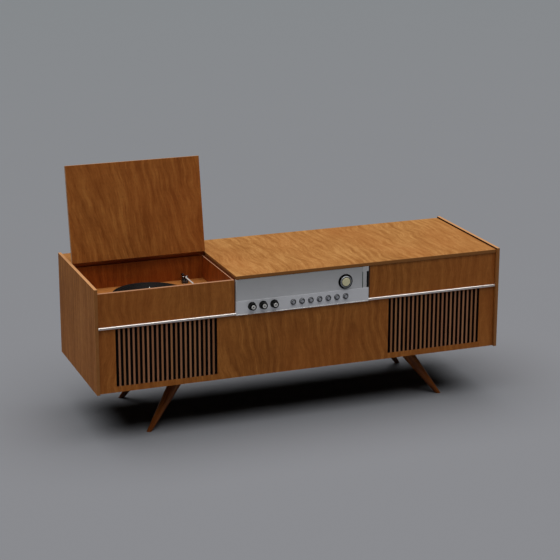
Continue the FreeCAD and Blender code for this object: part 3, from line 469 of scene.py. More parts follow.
# Painted shade: the pane's colour darkens towards its top, under the top board's overhang.
shade_toward_top = s.span(s.split(s.coord("Object"))[2], P(0, 0, 300).z, P(0, 0, 378).z, 0.0, 1.0)
tone = s.mix(shade_toward_top, (0.83, 0.835, 0.855), (0.60, 0.60, 0.605))
tone = s.mix(s.span(smear, 0.35, 0.7, 0.0, 0.10), tone, (0.50, 0.52, 0.54))
tone = s.mix(s.span(hair, 0.35, 0.7, 0.0, 0.12), tone, (0.40, 0.41, 0.43))
s.set(color=tone, rough=0.22, spec=0.4, alpha=0.74)
M["pane"] = s.mat

s = Shade("valve_glass")
smoke = s.noise(s.coord("Object"), 90.0, 3.0, 0.6)
s.set(color=s.mix(s.span(smoke, 0.4, 0.7, 0.0, 0.6), (0.86, 0.88, 0.88), (0.30, 0.31, 0.33)), rough=0.06, trans=0.85,
      ior=1.48)
M["glass"] = s.mat


def legwood(name, axis):
    """Turned hardwood with its grain along the leg."""
    q = Vector(axis).normalized().rotation_difference(Vector((0, 0, 1)))
    return wood(name, (0.130, 0.032, 0.0040), (0.205, 0.055, 0.0068), (0.290, 0.090, 0.0130), "x", "z",
                3.0 + axis[0] * 9, figure=0.9, wave=0.3, rings=1.2, rough=0.38, spec=0.22,
                turn=((0.0, 0.0, 0.0), tuple(q.to_euler("XYZ"))), streak=170.0, lengthwise=9.0, patch=0.2)


# ------------------------------------------------------------------- meshes
def finish_mesh(name, bm, mat, angle=32.0, smooth=True):
    me = bpy.data.meshes.new(name)
    bmesh.ops.recalc_face_normals(bm, faces=bm.faces[:])
    bm.to_mesh(me)
    bm.free()
    if smooth:
        me.polygons.foreach_set("use_smooth", [True] * len(me.polygons))
        me.set_sharp_from_angle(angle=math.radians(angle))
    ob = bpy.data.objects.new(name, me)
    bpy.context.scene.collection.objects.link(ob)
    me.materials.append(mat)
    return ob


def lathe_bm(prof, seg=96, flute=None, bm=None, mat_index=None):
    """Closed turned solid.  prof runs (radius, height) from one pole to the
    other; flute(i, angle) gives a change of radius for ring i."""
    bm = bm or bmesh.new()
    rings = []
    for i, (r, h) in enumerate(prof):
        if r < 1e-9:
            rings.append([bm.verts.new((0, 0, h))])
            continue
        ring = []
        for k in range(seg):
            t = 2 * math.pi * k / seg
            rr = r + (flute(i, t) if flute else 0.0)
            ring.append(bm.verts.new((rr * math.cos(t), rr * math.sin(t), h)))
        rings.append(ring)
    for j in range(len(rings) - 1):
        a, b = rings[j], rings[j + 1]
        for k in range(seg):
            n = (k + 1) % seg
            if len(a) == 1 and len(b) == 1:
                continue
            if len(a) == 1:
                f = bm.faces.new((a[0], b[k], b[n]))
            elif len(b) == 1:
                f = bm.faces.new((a[k], a[n], b[0]))
            else:
                f = bm.faces.new((a[k], a[n], b[n], b[k]))
            if mat_index is not None:
                f.material_index = mat_index[j] if j < len(mat_index) else mat_index[-1]
    return bm


def lathe(name, prof, mats, pos, axis, body, seg=96, flute=None, mat_index=None, replaces=None, closed=False,
          angle=32.0):
    """A turned piece in place; prof in millimetres, heights along axis."""
    prof = [(r / 1000.0, h / 1000.0) for r, h in prof]
    if closed:
        prof = prof + [prof[0]]
    bm = lathe_bm(prof, seg, flute, None, mat_index)
    if closed:
        bmesh.ops.remove_doubles(bm, verts=bm.verts[:], dist=1e-7)
    mats = mats if isinstance(mats, (list, tuple)) else [mats]
    ob = finish_mesh(name, bm, mats[0], angle)
    for m in mats[1:]:
        ob.data.materials.append(m)
    z = Vector(axis).normalized()
    if abs(z.z) > 0.999:
        x = Vector((1, 0, 0))
    else:
        x = Vector((0, 0, 1)).cross(z).normalized()
    y = z.cross(x)
    ob.matrix_world = Matrix.Translation(pos) @ Matrix((x, y, z)).transposed().to_4x4()
    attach(ob, body)
    if replaces:
        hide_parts(*([replaces] if isinstance(replaces, str) else replaces))
    return ob


def bar_bm(bm, lo, hi, bevel=0.0, seg=2, mi=0):
    """A rounded bar between two row points, added to bm."""
    start = len(bm.verts)
    r = bmesh.ops.create_cube(bm, size=1.0)
    vs = r["verts"]
    c, d = (lo + hi) / 2, hi - lo
    for v in vs:
        v.co = Vector((c.x + v.co.x * d.x, c.y + v.co.y * d.y, c.z + v.co.z * d.z))
    edges = list({e for v in vs for e in v.link_edges})
    faces = list({f for v in vs for f in v.link_faces})
    for f in faces:
        f.material_index = mi
    if bevel > 0:
        out = bmesh.ops.bevel(bm, geom=edges, offset=bevel, segments=seg, profile=0.5, affect="EDGES")
        for f in out["faces"]:
            f.material_index = mi
    return start


def bars(name, boxes, mat, body, bevel=0.3, seg=2, replaces=None, rot=None, pivot=None):
    """Several rounded bars as one piece; boxes in cabinet millimetres."""
    bm = bmesh.new()
    for b in boxes:
        x0, x1, y0, y1, z0, z1 = b[:6]
        bar_bm(bm, P(x0, y0, z0), P(x1, y1, z1), (b[6] if len(b) > 6 else bevel) / 1000.0, seg)
    if rot is not None:
        bmesh.ops.transform(bm, matrix=Matrix.Translation(pivot) @ rot @ Matrix.Translation(-pivot), verts=bm.verts[:])
    ob = finish_mesh(name, bm, mat, 30.0)
    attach(ob, body)
    if replaces:
        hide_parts(*([replaces] if isinstance(replaces, str) else replaces))
    return ob


def dress(node, mat, bevel=0.0, seg=2, slot=None):
    """A CAD node that stays: its material, and softened edges."""
    o = nodes[node]
    o.data.materials.clear()
    o.data.materials.append(mat)
    if bevel:
        w = o.modifiers.new("weld", "WELD")
        w.merge_threshold = 0.00001
        b = o.modifiers.new("edges", "BEVEL")
        b.width = bevel / 1000.0
        b.segments = seg
        b.limit_method = "ANGLE"
        b.angle_limit = math.radians(40)
        b.use_clamp_overlap = True
        b.harden_normals = False
        n = o.modifiers.new("normals", "WEIGHTED_NORMAL")
        n.keep_sharp = False
        n.weight = 60
    return o


# ------------------------------------------------------------ cabinet boards
for n in ("left_side_panel", "right_side_panel"):
    dress(n, M["side"], 0.8)
dress("top_panel", M["top"], 2.4, 4)
dress("rear_top_rail", M["top"], 0.7)
for n in ("well_front_panel", "right_front_panel"):
    dress(n, M["front"], 0.6)
dress("lower_front_panel", M["slats"], 0.3)
dress("lid", M["lid"], 0.8)
dress("well_partition", M["part"], 0.4)
dress("well_rear_board", M["inside"], 0.4)
dress("deck_board", M["deck"], 0.4)
dress("bottom_panel", M["dusk"], 0.4)
dress("radio_partition", M["plain"], 0.4)
dress("radio_shelf", M["plain"], 0.4)
dress("back_panel", M["hard"], 0.3)
dress("leg_plates", M["pressed"], 0.5)
dress("mains_inlet", M["blackmatt"], 0.4)
dress("dial_scale", M["dial"], 0.2)
dress("dial_pointer", M["needle"], 0.1)
dress("arm_rest", M["blackmatt"], 0.3)
dress("radio_chassis", M["pressed"], 0.2)
dress("power_transformer", M["iron"], 1.0)
for n in ("platter_bearing", "motor_pulley"):
    dress(n, M["brass"])
for n in ("hinge_moving_leaf", "hinge_fixed_leaf", "hinge_pin"):
    dress(n, M["bronze"])
for n in ("speaker_frames", "turntable_motor"):
    dress(n, M["pressed"])
dress("speaker_cones", M["paper"])
dress("speaker_magnets", M["iron"])
dress("valve_set", M["glass"])
dress("idler_wheel", M["rubber"])
dress("platter_spindle", M["bright"])
RUN = {"leg_front_left": (137, 50, 193), "leg_front_right": (-137, 50, 193),
       "leg_rear_left": (137, -50, 193), "leg_rear_right": (-137, -50, 193)}
for n, a in RUN.items():
    dress(n, legwood("wood_" + n, Vector(a) / 1000.0))

# Bright rails: a rolled nose, full at the top and drawn back below.
def rail(name, x0, x1, z0, z1, mat, y0=4.0, y1=24.0, replaces=None):
    h = z1 - z0
    nose = [(y1, z1), (y0 + 4.6, z1)]
    for k in range(1, 10):
        t = math.pi / 2 * k / 9.0
        nose.append((y0 + 4.6 - 4.6 * math.sin(t), z1 - 0.52 * h * (1 - math.cos(t))))
    for k in range(1, 8):
        t = math.pi / 2 * k / 7.0
        nose.append((y0 + 7.4 * (1 - math.cos(t)), z1 - 0.52 * h - 0.48 * h * math.sin(t)))
    nose.append((y1, z0))
    bm = bmesh.new()
    cuts = [x0, x0 + 0.5] + [x0 + 0.5 + (x1 - x0 - 1.0) * i / 8.0 for i in range(1, 8)] + [x1 - 0.5, x1]
    loops = []
    for i, x in enumerate(cuts):
        inset = 0.35 if i in (0, len(cuts) - 1) else 0.0
        loops.append([bm.verts.new(P(x, min(y + inset * (y < y1 - 1), y1), z + inset * (0.5 - (z - z0) / h) * 2))
                      for y, z in nose])
    for a, b in zip(loops, loops[1:]):
        for j in range(len(nose)):
            k = (j + 1) % len(nose)
            bm.faces.new((a[j], a[k], b[k], b[j]))
    bm.faces.new(loops[0])
    bm.faces.new(loops[-1])
    ob = finish_mesh(name, bm, mat, 35.0)
    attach(ob, "cabinet")
    if replaces:
        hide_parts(replaces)
    return ob


rail("trim_rail_left_look", 12.0, 537.0, 243.0, 254.0, M["rail"], replaces="trim_rails")
rail("trim_rail_right_look", 1069.0, 1608.0, 243.0, 254.0, M["rail"], replaces="trim_rails")
rail("fascia_foot_look", 537.3, 1068.7, 243.1, 247.4, M["lip"], 4.7, 6.4)

# Speaker cloth: one stretched sheet behind each grille.
for side, x0, x1 in (("left", 67.5, 473.45), ("right", 1146.55, 1552.5)):
    bm = bmesh.new()
    nx, nz = 120, 24
    grid = []
    for j in range(nz + 1):
        row = []
        for i in range(nx + 1):
            fx, fz = i / nx, j / nz
            sag = 0.25 * math.sin(fx * math.pi * 9.0) * math.sin(fz * math.pi * 3.0)
            row.append(bm.verts.new(P(x0 + (x1 - x0) * fx, 24.75 + sag, 14.0 + 228.0 * fz)))
        grid.append(row)
    for j in range(nz):
        for i in range(nx):
            bm.faces.new((grid[j][i], grid[j][i + 1], grid[j + 1][i + 1], grid[j + 1][i]))
    ob = finish_mesh("grille_cloth_" + side, bm, M["cloth"])
    sol = ob.modifiers.new("thickness", "SOLIDIFY")
    sol.thickness = 0.0008
    sol.offset = 0.0
    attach(ob, "cabinet")
    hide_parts("grille_cloths")

# -------------------------------------------------------------------- radio
FRONT = (0, -1, 0)


def knob(name, x, z, body, node, turned_to):
    """Small control knob: fluted black skirt, spun metal cap with a dimple
    and an engraved pointer line."""
    prof = [(0, -24), (3.0, -24), (3.0, 0.6), (13.4, 0.6), (14.0, 1.2), (14.0, 4.2), (13.6, 5.2), (13.3, 14.5),
            (13.0, 16.6), (12.3, 17.5), (9.0, 17.9), (8.1, 18.1), (8.0, 18.6), (7.7, 19.0), (7.2, 19.0), (5.2, 18.75),
            (2.6, 18.7), (2.3, 18.3), (1.9, 17.9), (0, 17.8)]
    idx = [0, 0, 0, 0, 0, 0, 0, 0, 0, 0, 0, 1, 1, 1, 1, 1, 2, 2, 2]

    def fl(i, t):
        if i in (4, 5):
            return -0.00030 * (0.5 - 0.5 * math.cos(40 * t)) ** 2
        if i in (7, 8):
            return -0.00045 * (0.5 - 0.5 * math.cos(40 * t)) ** 2
        if i == 6:
            return -0.00040 * (0.5 - 0.5 * math.cos(40 * t)) ** 2
        return 0.0
    ob = lathe(name, prof, [M["black"], M["cap"], M["capdark"]], P(x, 6, z), FRONT, body, 240, fl, idx,
               node, angle=40.0)
    # pointer line on the cap
    bm = bmesh.new()
    c = P(x, 0, z)
    bar_bm(bm, P(x - 0.35, -12.95, z + 3.0), P(x + 0.35, -12.6, z + 7.2), 0.0001, 1)
    bmesh.ops.transform(bm, matrix=Matrix.Translation(c) @ Matrix.Rotation(math.radians(turned_to), 4, "Y")
                        @ Matrix.Translation(-c), verts=bm.verts[:])
    ln = finish_mesh(name + "_line", bm, M["capdark"])
    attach(ln, body)
    return ob


knob("volume_knob_look", 599.0, 274.3, "volume", "volume_knob", -120)
knob("bass_knob_look", 643.0, 274.3, "bass", "bass_knob", 0)
knob("treble_knob_look", 687.0, 274.3, "treble", "treble_knob", 12)

# Tuning knob: black skirt, grey ring with fine knurling, cream face.
prof = [(0, -12), (3.0, -12), (3.0, 1.0), (25.8, 1.0), (26.5, 1.7), (26.5, 4.6), (25.6, 6.2), (24.4, 7.4), (23.2, 7.9),
        (22.9, 8.4), (22.5, 16.6), (21.9, 18.0), (20.9, 18.9), (18.6, 19.0), (17.6, 18.4), (16.2, 18.3), (15.9, 19.2),
        (15.4, 20.1), (14.6, 20.5), (11.0, 20.25), (10.6, 20.0), (10.2, 19.98), (9.8, 20.15), (5.0, 19.95), (0, 19.9)]
idx = [0] * 10 + [1] * 3 + [0, 0] + [2] * 9


def tune_flute(i, t):
    if 9 <= i <= 11:
        return -0.00030 * (0.5 - 0.5 * math.cos(72 * t)) ** 2
    if 4 <= i <= 5:
        return -0.00018 * (0.5 - 0.5 * math.cos(72 * t)) ** 2
    return 0.0


lathe("tuning_knob_look", prof, [M["black"], M["ring"], M["cream"]], P(974, 18, 330), FRONT, "tuning",
      360, tune_flute, idx, "tuning_knob", angle=40.0)
# A finger dimple marks the turn on the cream face.
lathe("tuning_dimple", [(0, -0.3), (2.9, -0.3), (2.9, 0.15), (2.5, 0.30), (2.1, 0.12), (0, 0.0)], M["cream"],
      P(974 + 6.2, -2.05, 330 + 2.2), FRONT, "tuning", 48)
# Plain washer on the dial plate round the knob's shaft.
lathe("tuning_washer", [(4.2, 0), (27.6, 0), (27.6, 0.35), (27.1, 0.6), (4.2, 0.6)], M["ring"], P(974, 18, 330), FRONT,
      "cabinet", 120, closed=True)

for i in range(7):
    bx = 763.0 + 35.3 * i
    body = "button_%d" % (i + 1)
    prof = [(0, -26), (3.0, -26), (3.0, -4.5), (11.3, -4.5), (11.3, -3.0), (9.3, -3.0), (9.3, 4.7), (8.95, 5.6),
            (8.1, 6.0), (7.0, 5.8), (6.5, 5.0), (6.1, 5.0), (5.6, 5.7), (4.8, 5.95), (0, 6.0)]
    lathe("push_button_%d_look" % (i + 1), prof, [M["button"], M["blackmatt"]], P(bx, 6, 272.6), FRONT, body,
          96, None, [1, 1, 1, 1, 1, 0, 0, 1, 1, 1, 1, 0, 0, 0], "push_button_%d" % (i + 1))
    lathe("button_collar_%d" % (i + 1), [(10.25, -0.5), (11.5, -0.5), (11.5, 0.35), (11.2, 0.7), (10.6, 0.7),
                                         (10.25, 0.3)],
          M["blackmatt"], P(bx, 6, 272.6), FRONT, "cabinet", 96, None, None, None, closed=True)

# Black washers behind the small knobs; they also stand as painted shade, widening the dark round each knob's skirt.
for i in range(3):
    lathe("knob_washer_%d" % (i + 1), [(4.1, 0), (15.8, 0), (15.8, 0.3), (15.5, 0.5), (4.1, 0.5)], M["black"],
          P(599.0 + 44 * i, 5.98, 274.3), FRONT, "cabinet", 72, closed=True)

def cut(ob, name, boxes=(), holes=()):
    """Cut boxes and round holes (cabinet millimetres, holes along Y) out of
    a piece, and keep the result as its mesh."""
    bm = bmesh.new()
    for x0, x1, y0, y1, z0, z1 in boxes:
        bar_bm(bm, P(x0, y0, z0), P(x1, y1, z1), 0.0, 1)
    for x, z, r, y0, y1 in holes:
        ends = []
        for y in (y0, y1):
            ends.append([bm.verts.new(P(x + r * math.cos(2 * math.pi * k / 72), y, z + r * math.sin(2 * math.pi * k / 72)))
                         for k in range(72)])
        for k in range(72):
            n = (k + 1) % 72
            bm.faces.new((ends[0][k], ends[0][n], ends[1][n], ends[1][k]))
        bm.faces.new(ends[0])
        bm.faces.new(ends[1])
    cutter = finish_mesh(name + "_cutter", bm, M["dark"], smooth=False)
    mod = ob.modifiers.new("cut", "BOOLEAN")
    mod.operation = "DIFFERENCE"
    mod.solver = "EXACT"
    mod.object = cutter
    bpy.context.view_layer.update()
    dg = bpy.context.evaluated_depsgraph_get()
    me = bpy.data.meshes.new_from_object(ob.evaluated_get(dg))
    ob.modifiers.clear()
    old = ob.data
    ob.data = me
    bpy.data.meshes.remove(old)
    bpy.data.objects.remove(cutter)


def soften(ob, width, seg=2):
    b = ob.modifiers.new("edges", "BEVEL")
    b.width = width / 1000.0
    b.segments = seg
    b.limit_method = "ANGLE"
    b.angle_limit = math.radians(40)
    b.use_clamp_overlap = True
    n = ob.modifiers.new("normals", "WEIGHTED_NORMAL")
    n.keep_sharp = False


# Fascia: one pressing with a proud control strip below, the dial field let in
# above it, a narrow end window, and holes for knobs and buttons.
bm = bmesh.new()
bar_bm(bm, P(537.0, 6, 243.0), P(1069.0, 18, 380.0), 0.0, 1)
fascia = finish_mesh("radio_fascia_look", bm, M["fascia"], smooth=False)
cut(fascia, "fascia_field", [(541.2, 1070.0, 4.0, 7.2, 297.0, 382.0)])
cut(fascia, "fascia_seat", [(541.4, 1046.0, 6.0, 8.6, 297.2, 382.0)])
cut(fascia, "fascia_dial", [(555.0, 1046.0, 8.0, 19.0, 297.3, 363.0), (1061.2, 1065.5, 4.0, 19.0, 299.0, 361.0)],
    [(599.0 + 44 * i, 274.3, 4.2, 4.0, 9.0) for i in range(3)] +
    [(763.0 + 35.3 * i, 272.6, 10.2, 4.0, 9.0) for i in range(7)])
cut(fascia, "fascia_hollow", [(540.0, 1066.0, 8.5, 19.0, 246.0, 294.0)])
soften(fascia, 0.35)
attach(fascia, "cabinet")
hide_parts("radio_fascia")

# Dial glass: a smoked pane flush in the opening, drilled for the tuning knob.
GX0, GX1, GZ0, GZ1, GY0, GY1 = 541.6, 1045.8, 297.3, 379.6, 7.2, 8.5
KX, KZ, KR = 974.0, 330.0, 27.3
bm = bmesh.new()
seg = 64
ring_pts, rim_pts = [], []
for k in range(seg):
    t = 2 * math.pi * (k + 0.5) / seg
    cx, cz = math.cos(t), math.sin(t)
    ring_pts.append((KX + KR * cx, KZ + KR * cz))
    reach = []
    if abs(cx) > 1e-9:
        reach.append(((GX1 if cx > 0 else KX - 45.0) - KX) / cx)
    if abs(cz) > 1e-9:
        reach.append(((GZ1 if cz > 0 else GZ0) - KZ) / cz)
    r = min(v for v in reach if v > 0)
    rim_pts.append((KX + r * cx, KZ + r * cz))
for y, flip in ((GY0, 0), (GY1, 1)):
    inner = [bm.verts.new(P(x, y, z)) for x, z in ring_pts]
    outer = [bm.verts.new(P(x, y, z)) for x, z in rim_pts]
    for k in range(seg):
        n = (k + 1) % seg
        bm.faces.new((inner[k], inner[n], outer[n], outer[k]))
    corners = {}
    for nm, (x, z) in {"rt": (GX1, GZ1), "rb": (GX1, GZ0), "lt": (KX - 45.0, GZ1), "lb": (KX - 45.0, GZ0)}.items():
        corners[nm] = bm.verts.new(P(x, y, z))
        near = sorted(range(seg), key=lambda k: (rim_pts[k][0] - x) ** 2 + (rim_pts[k][1] - z) ** 2)[:2]
        bm.faces.new((outer[near[0]], corners[nm], outer[near[1]]))
    left = [k for k in range(seg) if abs(rim_pts[k][0] - (KX - 45.0)) < 1e-6]
    left.sort(key=lambda k: rim_pts[k][1])
    chain = [corners["lb"]] + [outer[k] for k in left] + [corners["lt"]]
    a0, a1 = bm.verts.new(P(GX0, y, GZ0)), bm.verts.new(P(GX0, y, GZ1))
    bm.faces.new([a0] + chain + [a1])
edges = [e for e in bm.edges if len(e.link_faces) == 1]
front_e = [e for e in edges if all(abs(v.co.y - P(0, GY0, 0).y) < 1e-6 for v in e.verts)]
tally = {}
for v in bm.verts:
    tally[(round(v.co.x, 6), round(v.co.z, 6), round(v.co.y, 6))] = v
for e in front_e:
    va, vb = e.verts
    yb = P(0, GY1, 0).y
    wa = tally[(round(va.co.x, 6), round(va.co.z, 6), round(yb, 6))]
    wb = tally[(round(vb.co.x, 6), round(vb.co.z, 6), round(yb, 6))]
    f = bm.faces.new((va, vb, wb, wa))
    f.material_index = 1
pane = finish_mesh("dial_glass_look", bm, M["pane"], 30.0)
pane.data.materials.append(M["green"])
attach(pane, "cabinet")
# Black collar round the hole the tuning knob passes through; it also stands as painted shade, widening the dark round
# the knob's skirt.
lathe("tuning_collar", [(26.9, -0.4), (28.9, -0.4), (28.9, 0.35), (28.4, 0.8), (27.4, 0.8), (26.9, 0.4)], M["black"],
      P(KX, 7.15, KZ), FRONT, "cabinet", 120, closed=True)
# Dark backing of the narrow window at the right end, and the pane's dark
# green edge strip beside it.
bars("end_window_back", [(1058.0, 1066.5, 17.2, 18.0, 298.0, 362.0, 0.2)], M["dark"], "cabinet")
# The end window's walls are lined with near-black strips: painted shade inside the narrow slot.
bars("end_window_shade_lining", [(1061.15, 1061.35, 7.3, 17.4, 299.1, 360.9, 0.0), (1065.3, 1065.5, 7.3, 17.4, 299.1, 360.9, 0.0),
                           (1061.4, 1065.2, 7.3, 17.4, 299.05, 299.3, 0.0), (1061.4, 1065.2, 7.3, 17.4, 360.7, 360.95, 0.0)],
     M["dark"], "cabinet", bevel=0.0)
bars("pane_edge_strip", [(1042.6, 1046.0, 6.75, 7.15, 299.0, 361.0, 0.1)], M["green"], "cabinet")
# Printed scale: three fine lines with ticks.
marks = []
for k, zz in enumerate((343.0, 329.0, 315.0)):
    marks.append((576.0, 930.0, 17.85, 18.02, zz - 0.25, zz + 0.25, 0.0))
    for m in range(60):
        xx = 578.0 + m * 5.95
        tall = 5.0 if m % 10 == 0 else (3.2 if m % 5 == 0 else 1.8)
        marks.append((xx - 0.22, xx + 0.22, 17.85, 18.02, zz, zz + tall, 0.0))
bars("dial_marks", marks, M["mark"], "cabinet", bevel=0.0)

# -------------------------------------------------------------- turntable
PC = (262.0, 195.0)
UP = (0, 0, 1)
prof = [(4.0, 297), (15, 297), (18, 301), (138, 301), (138, 295.3), (138.4, 295), (141.6, 295), (142, 295.4),
        (142, 297.2), (141.6, 297.6), (141.6, 298.4), (142, 298.8), (142, 300.6), (141.6, 301.0), (141.6, 301.8),
        (142, 302.2), (142, 303.6), (141.4, 304.6), (140.4, 305), (4.0, 305)]
lathe("platter_look", prof, M["alu"], P(PC[0], PC[1], 0), UP, "platter", 192, None, None, "platter",
      closed=True)
# Ribbed rubber mat: bands of fine ribs between smooth rings.
prof = [(4.0, 305.0), (140.4, 305.0), (140.5, 305.2), (140.5, 307.0), (140.0, 307.7), (139.0, 308.0)]
r = 138.0
while r > 50.0:
    band = int((138.0 - r) / 15.0)
    if (138.0 - r) % 15.0 < 11.0:
        prof += [(r, 307.95), (r - 0.35, 307.35), (r - 0.95, 307.35), (r - 1.3, 307.95)]
        r -= 1.6
    else:
        prof += [(r, 307.9)]
        r -= 3.9
prof += [(48.5, 308.0), (47.6, 307.6), (46.5, 307.0), (24.0, 307.0), (23.4, 307.3), (22.4, 307.3), (21.8, 307.0),
         (4.0, 307.0)]
lathe("platter_mat_look", prof, M["mat"], P(PC[0], PC[1], 0), UP, "platter", 192, None, None,
      "platter_mat", closed=True, angle=25.0)

AX, AY, AZ = 444.0, 332.0, 314.5
prof = [(4.05, 266), (8, 266), (8, 290), (14, 290), (14, 291.2), (13.6, 291.6), (13.6, 292.2), (13.9, 292.6),
        (13.7, 299.4), (13.3, 299.8), (13.3, 300.4), (13.6, 300.8), (13.5, 302.4), (13.0, 303.8), (12.0, 304.5),
        (4.05, 304.5)]
lathe("tonearm_base_look", prof, M["enamel"], P(AX, AY, 0), UP, "cabinet", 96, None, None,
      "tonearm_base", closed=True)

# Tonearm: tube with collars, pivot hub, cross shaft and counterweight stub.
BACK = (0, 1, 0)
prof = [(0, -214), (3.6, -214), (3.9, -213.6), (4.0, -213.0), (4.0, -202), (3.1, -196), (3.1, -30), (3.1, -13),
        (3.8, -12.4), (4.2, -11.6), (4.2, -9.6), (4.5, -9.0), (4.8, -8.0), (4.8, 5.4), (4.5, 6.4), (4.0, 7.2),
        (3.0, 8.0), (3.0, 33.4), (2.6, 34.0), (0, 34.0)]
lathe("tonearm_tube_look", prof, [M["white"], M["enamel"], M["bright"]], P(AX, AY, AZ), BACK, "tonearm",
      64, None, [0, 0, 0, 0, 0, 0, 0, 1, 1, 1, 1, 1, 1, 1, 1, 2, 2, 2, 2], "tonearm_tube")
lathe("tonearm_cross_shaft", [(0, -12), (1.3, -12), (1.5, -11.8), (1.5, 11.8), (1.3, 12), (0, 12)], M["bright"],
      P(AX, AY, AZ), (1, 0, 0), "tonearm", 32)


yoke = [(0, 272), (3.7, 272), (4.0, 272.3), (4.0, 305), (12.2, 305), (12.45, 305.3), (12.45, 306.3), (12.1, 306.8),
        (11.5, 307.0), (0, 307.0)]
bm = lathe_bm([(r / 1000.0, h / 1000.0) for r, h in yoke], 96)
bmesh.ops.translate(bm, verts=bm.verts[:], vec=P(AX, AY, 0))
for sx in (-1, 1):
    c = AX + sx * 10.4
    bar_bm(bm, P(c - 1.55, AY - 5, 305.6), P(c + 1.55, AY + 5, 317.3), 0.0014, 3)
yk = finish_mesh("tonearm_yoke_look", bm, M["blackmatt"], 35.0)
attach(yk, "yoke")
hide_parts("tonearm_yoke")


def weight_flute(i, t):
    return -0.00035 * (0.5 - 0.5 * math.cos(60 * t)) ** 2 if 5 <= i <= 8 else 0.0


prof = [(3.0, 0), (4.6, 0), (5.0, 0.4), (5.2, 1.0), (5.2, 2.6), (5.4, 3.0), (5.4, 6.0), (5.4, 10.0), (5.4, 12.6),
        (5.1, 13.2), (5.1, 14.2), (4.6, 15.0), (3.0, 15)]
lathe("counterweight_look", prof, M["enamel"], P(AX, AY + 19, AZ), BACK, "tonearm", 240, weight_flute,
      None, "counterweight", closed=True)

# Headshell: tapered tray turned in towards the groove, socket, cartridge
# with its stylus, two screws and a finger lift.
TY = AY - 241.0
piv = P(AX, TY, AZ)
yaw = Matrix.Rotation(math.radians(-20.0), 4, "Z")
bm = bmesh.new()
tray = [(-5.6, -10), (5.6, -10), (8.0, -4), (8.0, 20), (5.6, 27), (-5.6, 27), (-8.0, 20), (-8.0, -4)]
lowv = [bm.verts.new(P(AX + a, TY + b, AZ - 1.5)) for a, b in tray]
topv = [bm.verts.new(P(AX + a * 0.93, TY + b * 0.97, AZ + 1.5)) for a, b in tray]
bm.faces.new(lowv)
bm.faces.new(topv)
for i in range(8):
    j = (i + 1) % 8
    bm.faces.new((lowv[i], lowv[j], topv[j], topv[i]))
bmesh.ops.bevel(bm, geom=bm.edges[:], offset=0.0004, segments=2, profile=0.5, affect="EDGES")
bar_bm(bm, P(AX - 5.0, TY - 6, AZ - 3.6), P(AX + 5.0, TY + 10, AZ - 1.4), 0.0006, 2)
bar_bm(bm, P(AX + 7.0, TY + 1.0, AZ - 0.4), P(AX + 15.0, TY + 3.4, AZ + 0.5), 0.0003, 2)
bar_bm(bm, P(AX + 13.6, TY + 1.0, AZ - 0.3), P(AX + 15.0, TY + 3.4, AZ + 2.6), 0.0003, 2)
bmesh.ops.transform(bm, matrix=Matrix.Translation(piv) @ yaw @ Matrix.Translation(-piv), verts=bm.verts[:])
hs = finish_mesh("headshell_look", bm, M["blackmatt"], 30.0)
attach(hs, "tonearm")
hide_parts("headshell")
lathe("headshell_socket", [(4.5, 3), (4.5, 12), (5.0, 12), (5.3, 11.7), (5.3, 8.2), (5.0, 7.9), (5.0, 7.1), (5.3, 6.8),
                           (5.3, 0.4), (4.9, 0), (0, 0), (0, 3)], M["bright"], P(AX, TY + 24, AZ), BACK, "tonearm",
      64)
lathe("stylus_look", [(0, 0), (0.2, 0.1), (0.4, 0.9), (1.0, 1.6), (1.0, 2.4), (0, 2.4)], M["bright"],
      P(AX, TY, 308.65), UP, "tonearm", 24)
for k, dx in enumerate((-4.6, 4.6)):
    c = piv + yaw.to_3x3() @ Vector((dx / 1000, 0.004, 0.0015))
    lathe("cartridge_screw_%d" % (k + 1), [(0, -0.6), (1.5, -0.6), (1.5, 0.5), (1.2, 0.9), (0, 1.0)], M["steel"], c, UP,
          "tonearm", 24)

# ----------------------------------------------------------- small hardware
# Slotted round-head screws in the back panel.
n = 0
for fx in (0.012, 0.26, 0.5, 0.74, 0.988):
    for zz in (24.0, 370.0):
        n += 1
        x = 12 + 1596 * fx
        ob = lathe("back_screw_%d_look" % n, [(0, 0), (3.5, 0), (3.5, 0.3), (3.1, 1.0), (2.2, 1.6), (1.0, 1.92),
                                              (0, 2.0)], M["steel"], P(x, 520, zz), BACK, "cabinet", 40,
                   None, None, "back_screws")
        t = math.radians(37.0 * n)
        # The slot is a near-black strip laid on the head: painted shade in place of a cut slot.
        bm = bmesh.new()
        bar_bm(bm, P(x - 2.7, 521.2, zz - 0.35), P(x + 2.7, 521.98, zz + 0.35), 0.0, 1)
        c = P(x, 521, zz)
        bmesh.ops.transform(bm, matrix=Matrix.Translation(c) @ Matrix.Rotation(t, 4, "Y") @ Matrix.Translation(-c),
                            verts=bm.verts[:])
        sl = finish_mesh("back_screw_%d_slot" % n, bm, M["capdark"])
        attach(sl, "cabinet")

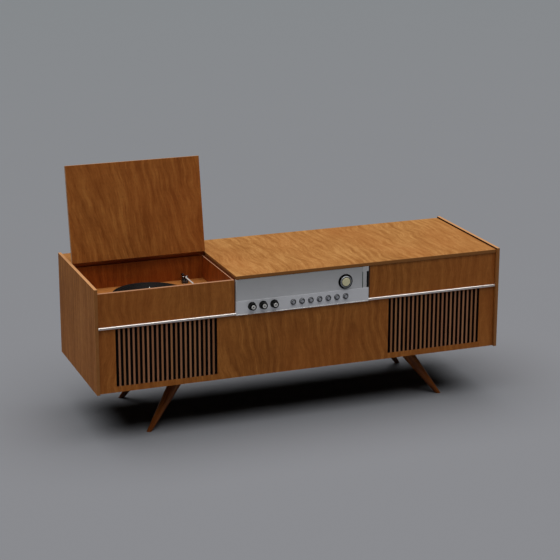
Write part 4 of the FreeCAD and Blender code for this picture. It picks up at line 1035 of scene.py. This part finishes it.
# ------------------------------------------------------------------- stage
bm = bmesh.new()
bmesh.ops.create_grid(bm, x_segments=1, y_segments=1, size=60.0)
floor = finish_mesh("studio_floor", bm, M["hard"], smooth=False)
s = Shade("pale_floor")
mottle = s.noise(s.coord("Object"), 1.3, 3.0, 0.6)
near = s.mix(mottle, (0.232, 0.236, 0.252), (0.235, 0.239, 0.255))
far = s.mix(mottle, (0.2175, 0.232, 0.2425), (0.220, 0.235, 0.2455))
s.set(color=s.mix(s.span(s.split(s.coord("Object"))[1], 0.5, 14.0, 0.0, 1.0), near, far), rough=0.9, spec=0.1)
floor.data.materials.clear()
floor.data.materials.append(s.mat)

world = bpy.data.worlds.new("studio")
bpy.context.scene.world = world
world.use_nodes = True
bg = world.node_tree.nodes.get("Background") or world.node_tree.nodes.new("ShaderNodeBackground")
bg.inputs["Color"].default_value = (0.93, 0.97, 1.0, 1.0)
bg.inputs["Strength"].default_value = 0.0


def sun(name, toward, strength, angle, colour=(1, 1, 1)):
    d = bpy.data.lights.new(name, "SUN")
    d.energy = strength
    d.angle = math.radians(angle)
    d.color = colour
    o = bpy.data.objects.new(name, d)
    bpy.context.scene.collection.objects.link(o)
    o.rotation_mode = "QUATERNION"
    o.rotation_quaternion = Vector(toward).normalized().to_track_quat("-Z", "Y")
    return o


sun("key_overhead", (0.0, 0.0, -1.0), 3.35, 84.0, (1.0, 1.0, 1.0))

# ------------------------------------------------------------------ camera
az, el, roll = 0.363558381, 0.287208216, 0.00149088941
fw = Vector((math.sin(az) * math.cos(el), math.cos(az) * math.cos(el), -math.sin(el)))
right = fw.cross(Vector((0, 0, 1))).normalized()
up = right.cross(fw)
r2 = right * math.cos(roll) + up * math.sin(roll)
u2 = -right * math.sin(roll) + up * math.cos(roll)
cam_data = bpy.data.cameras.new("camera")
cam_data.lens = 110.90
cam_data.sensor_width = 36.0
cam_data.clip_end = 200.0
cam = bpy.data.objects.new("camera", cam_data)
bpy.context.scene.collection.objects.link(cam)
m = Matrix((r2, u2, -fw)).transposed().to_4x4()
m.translation = Vector((-2.28067, -5.98568, 2.36752))
cam.matrix_world = m
bpy.context.scene.camera = cam

bpy.context.scene.view_settings.view_transform = "Standard"
bpy.context.scene.view_settings.look = "None"
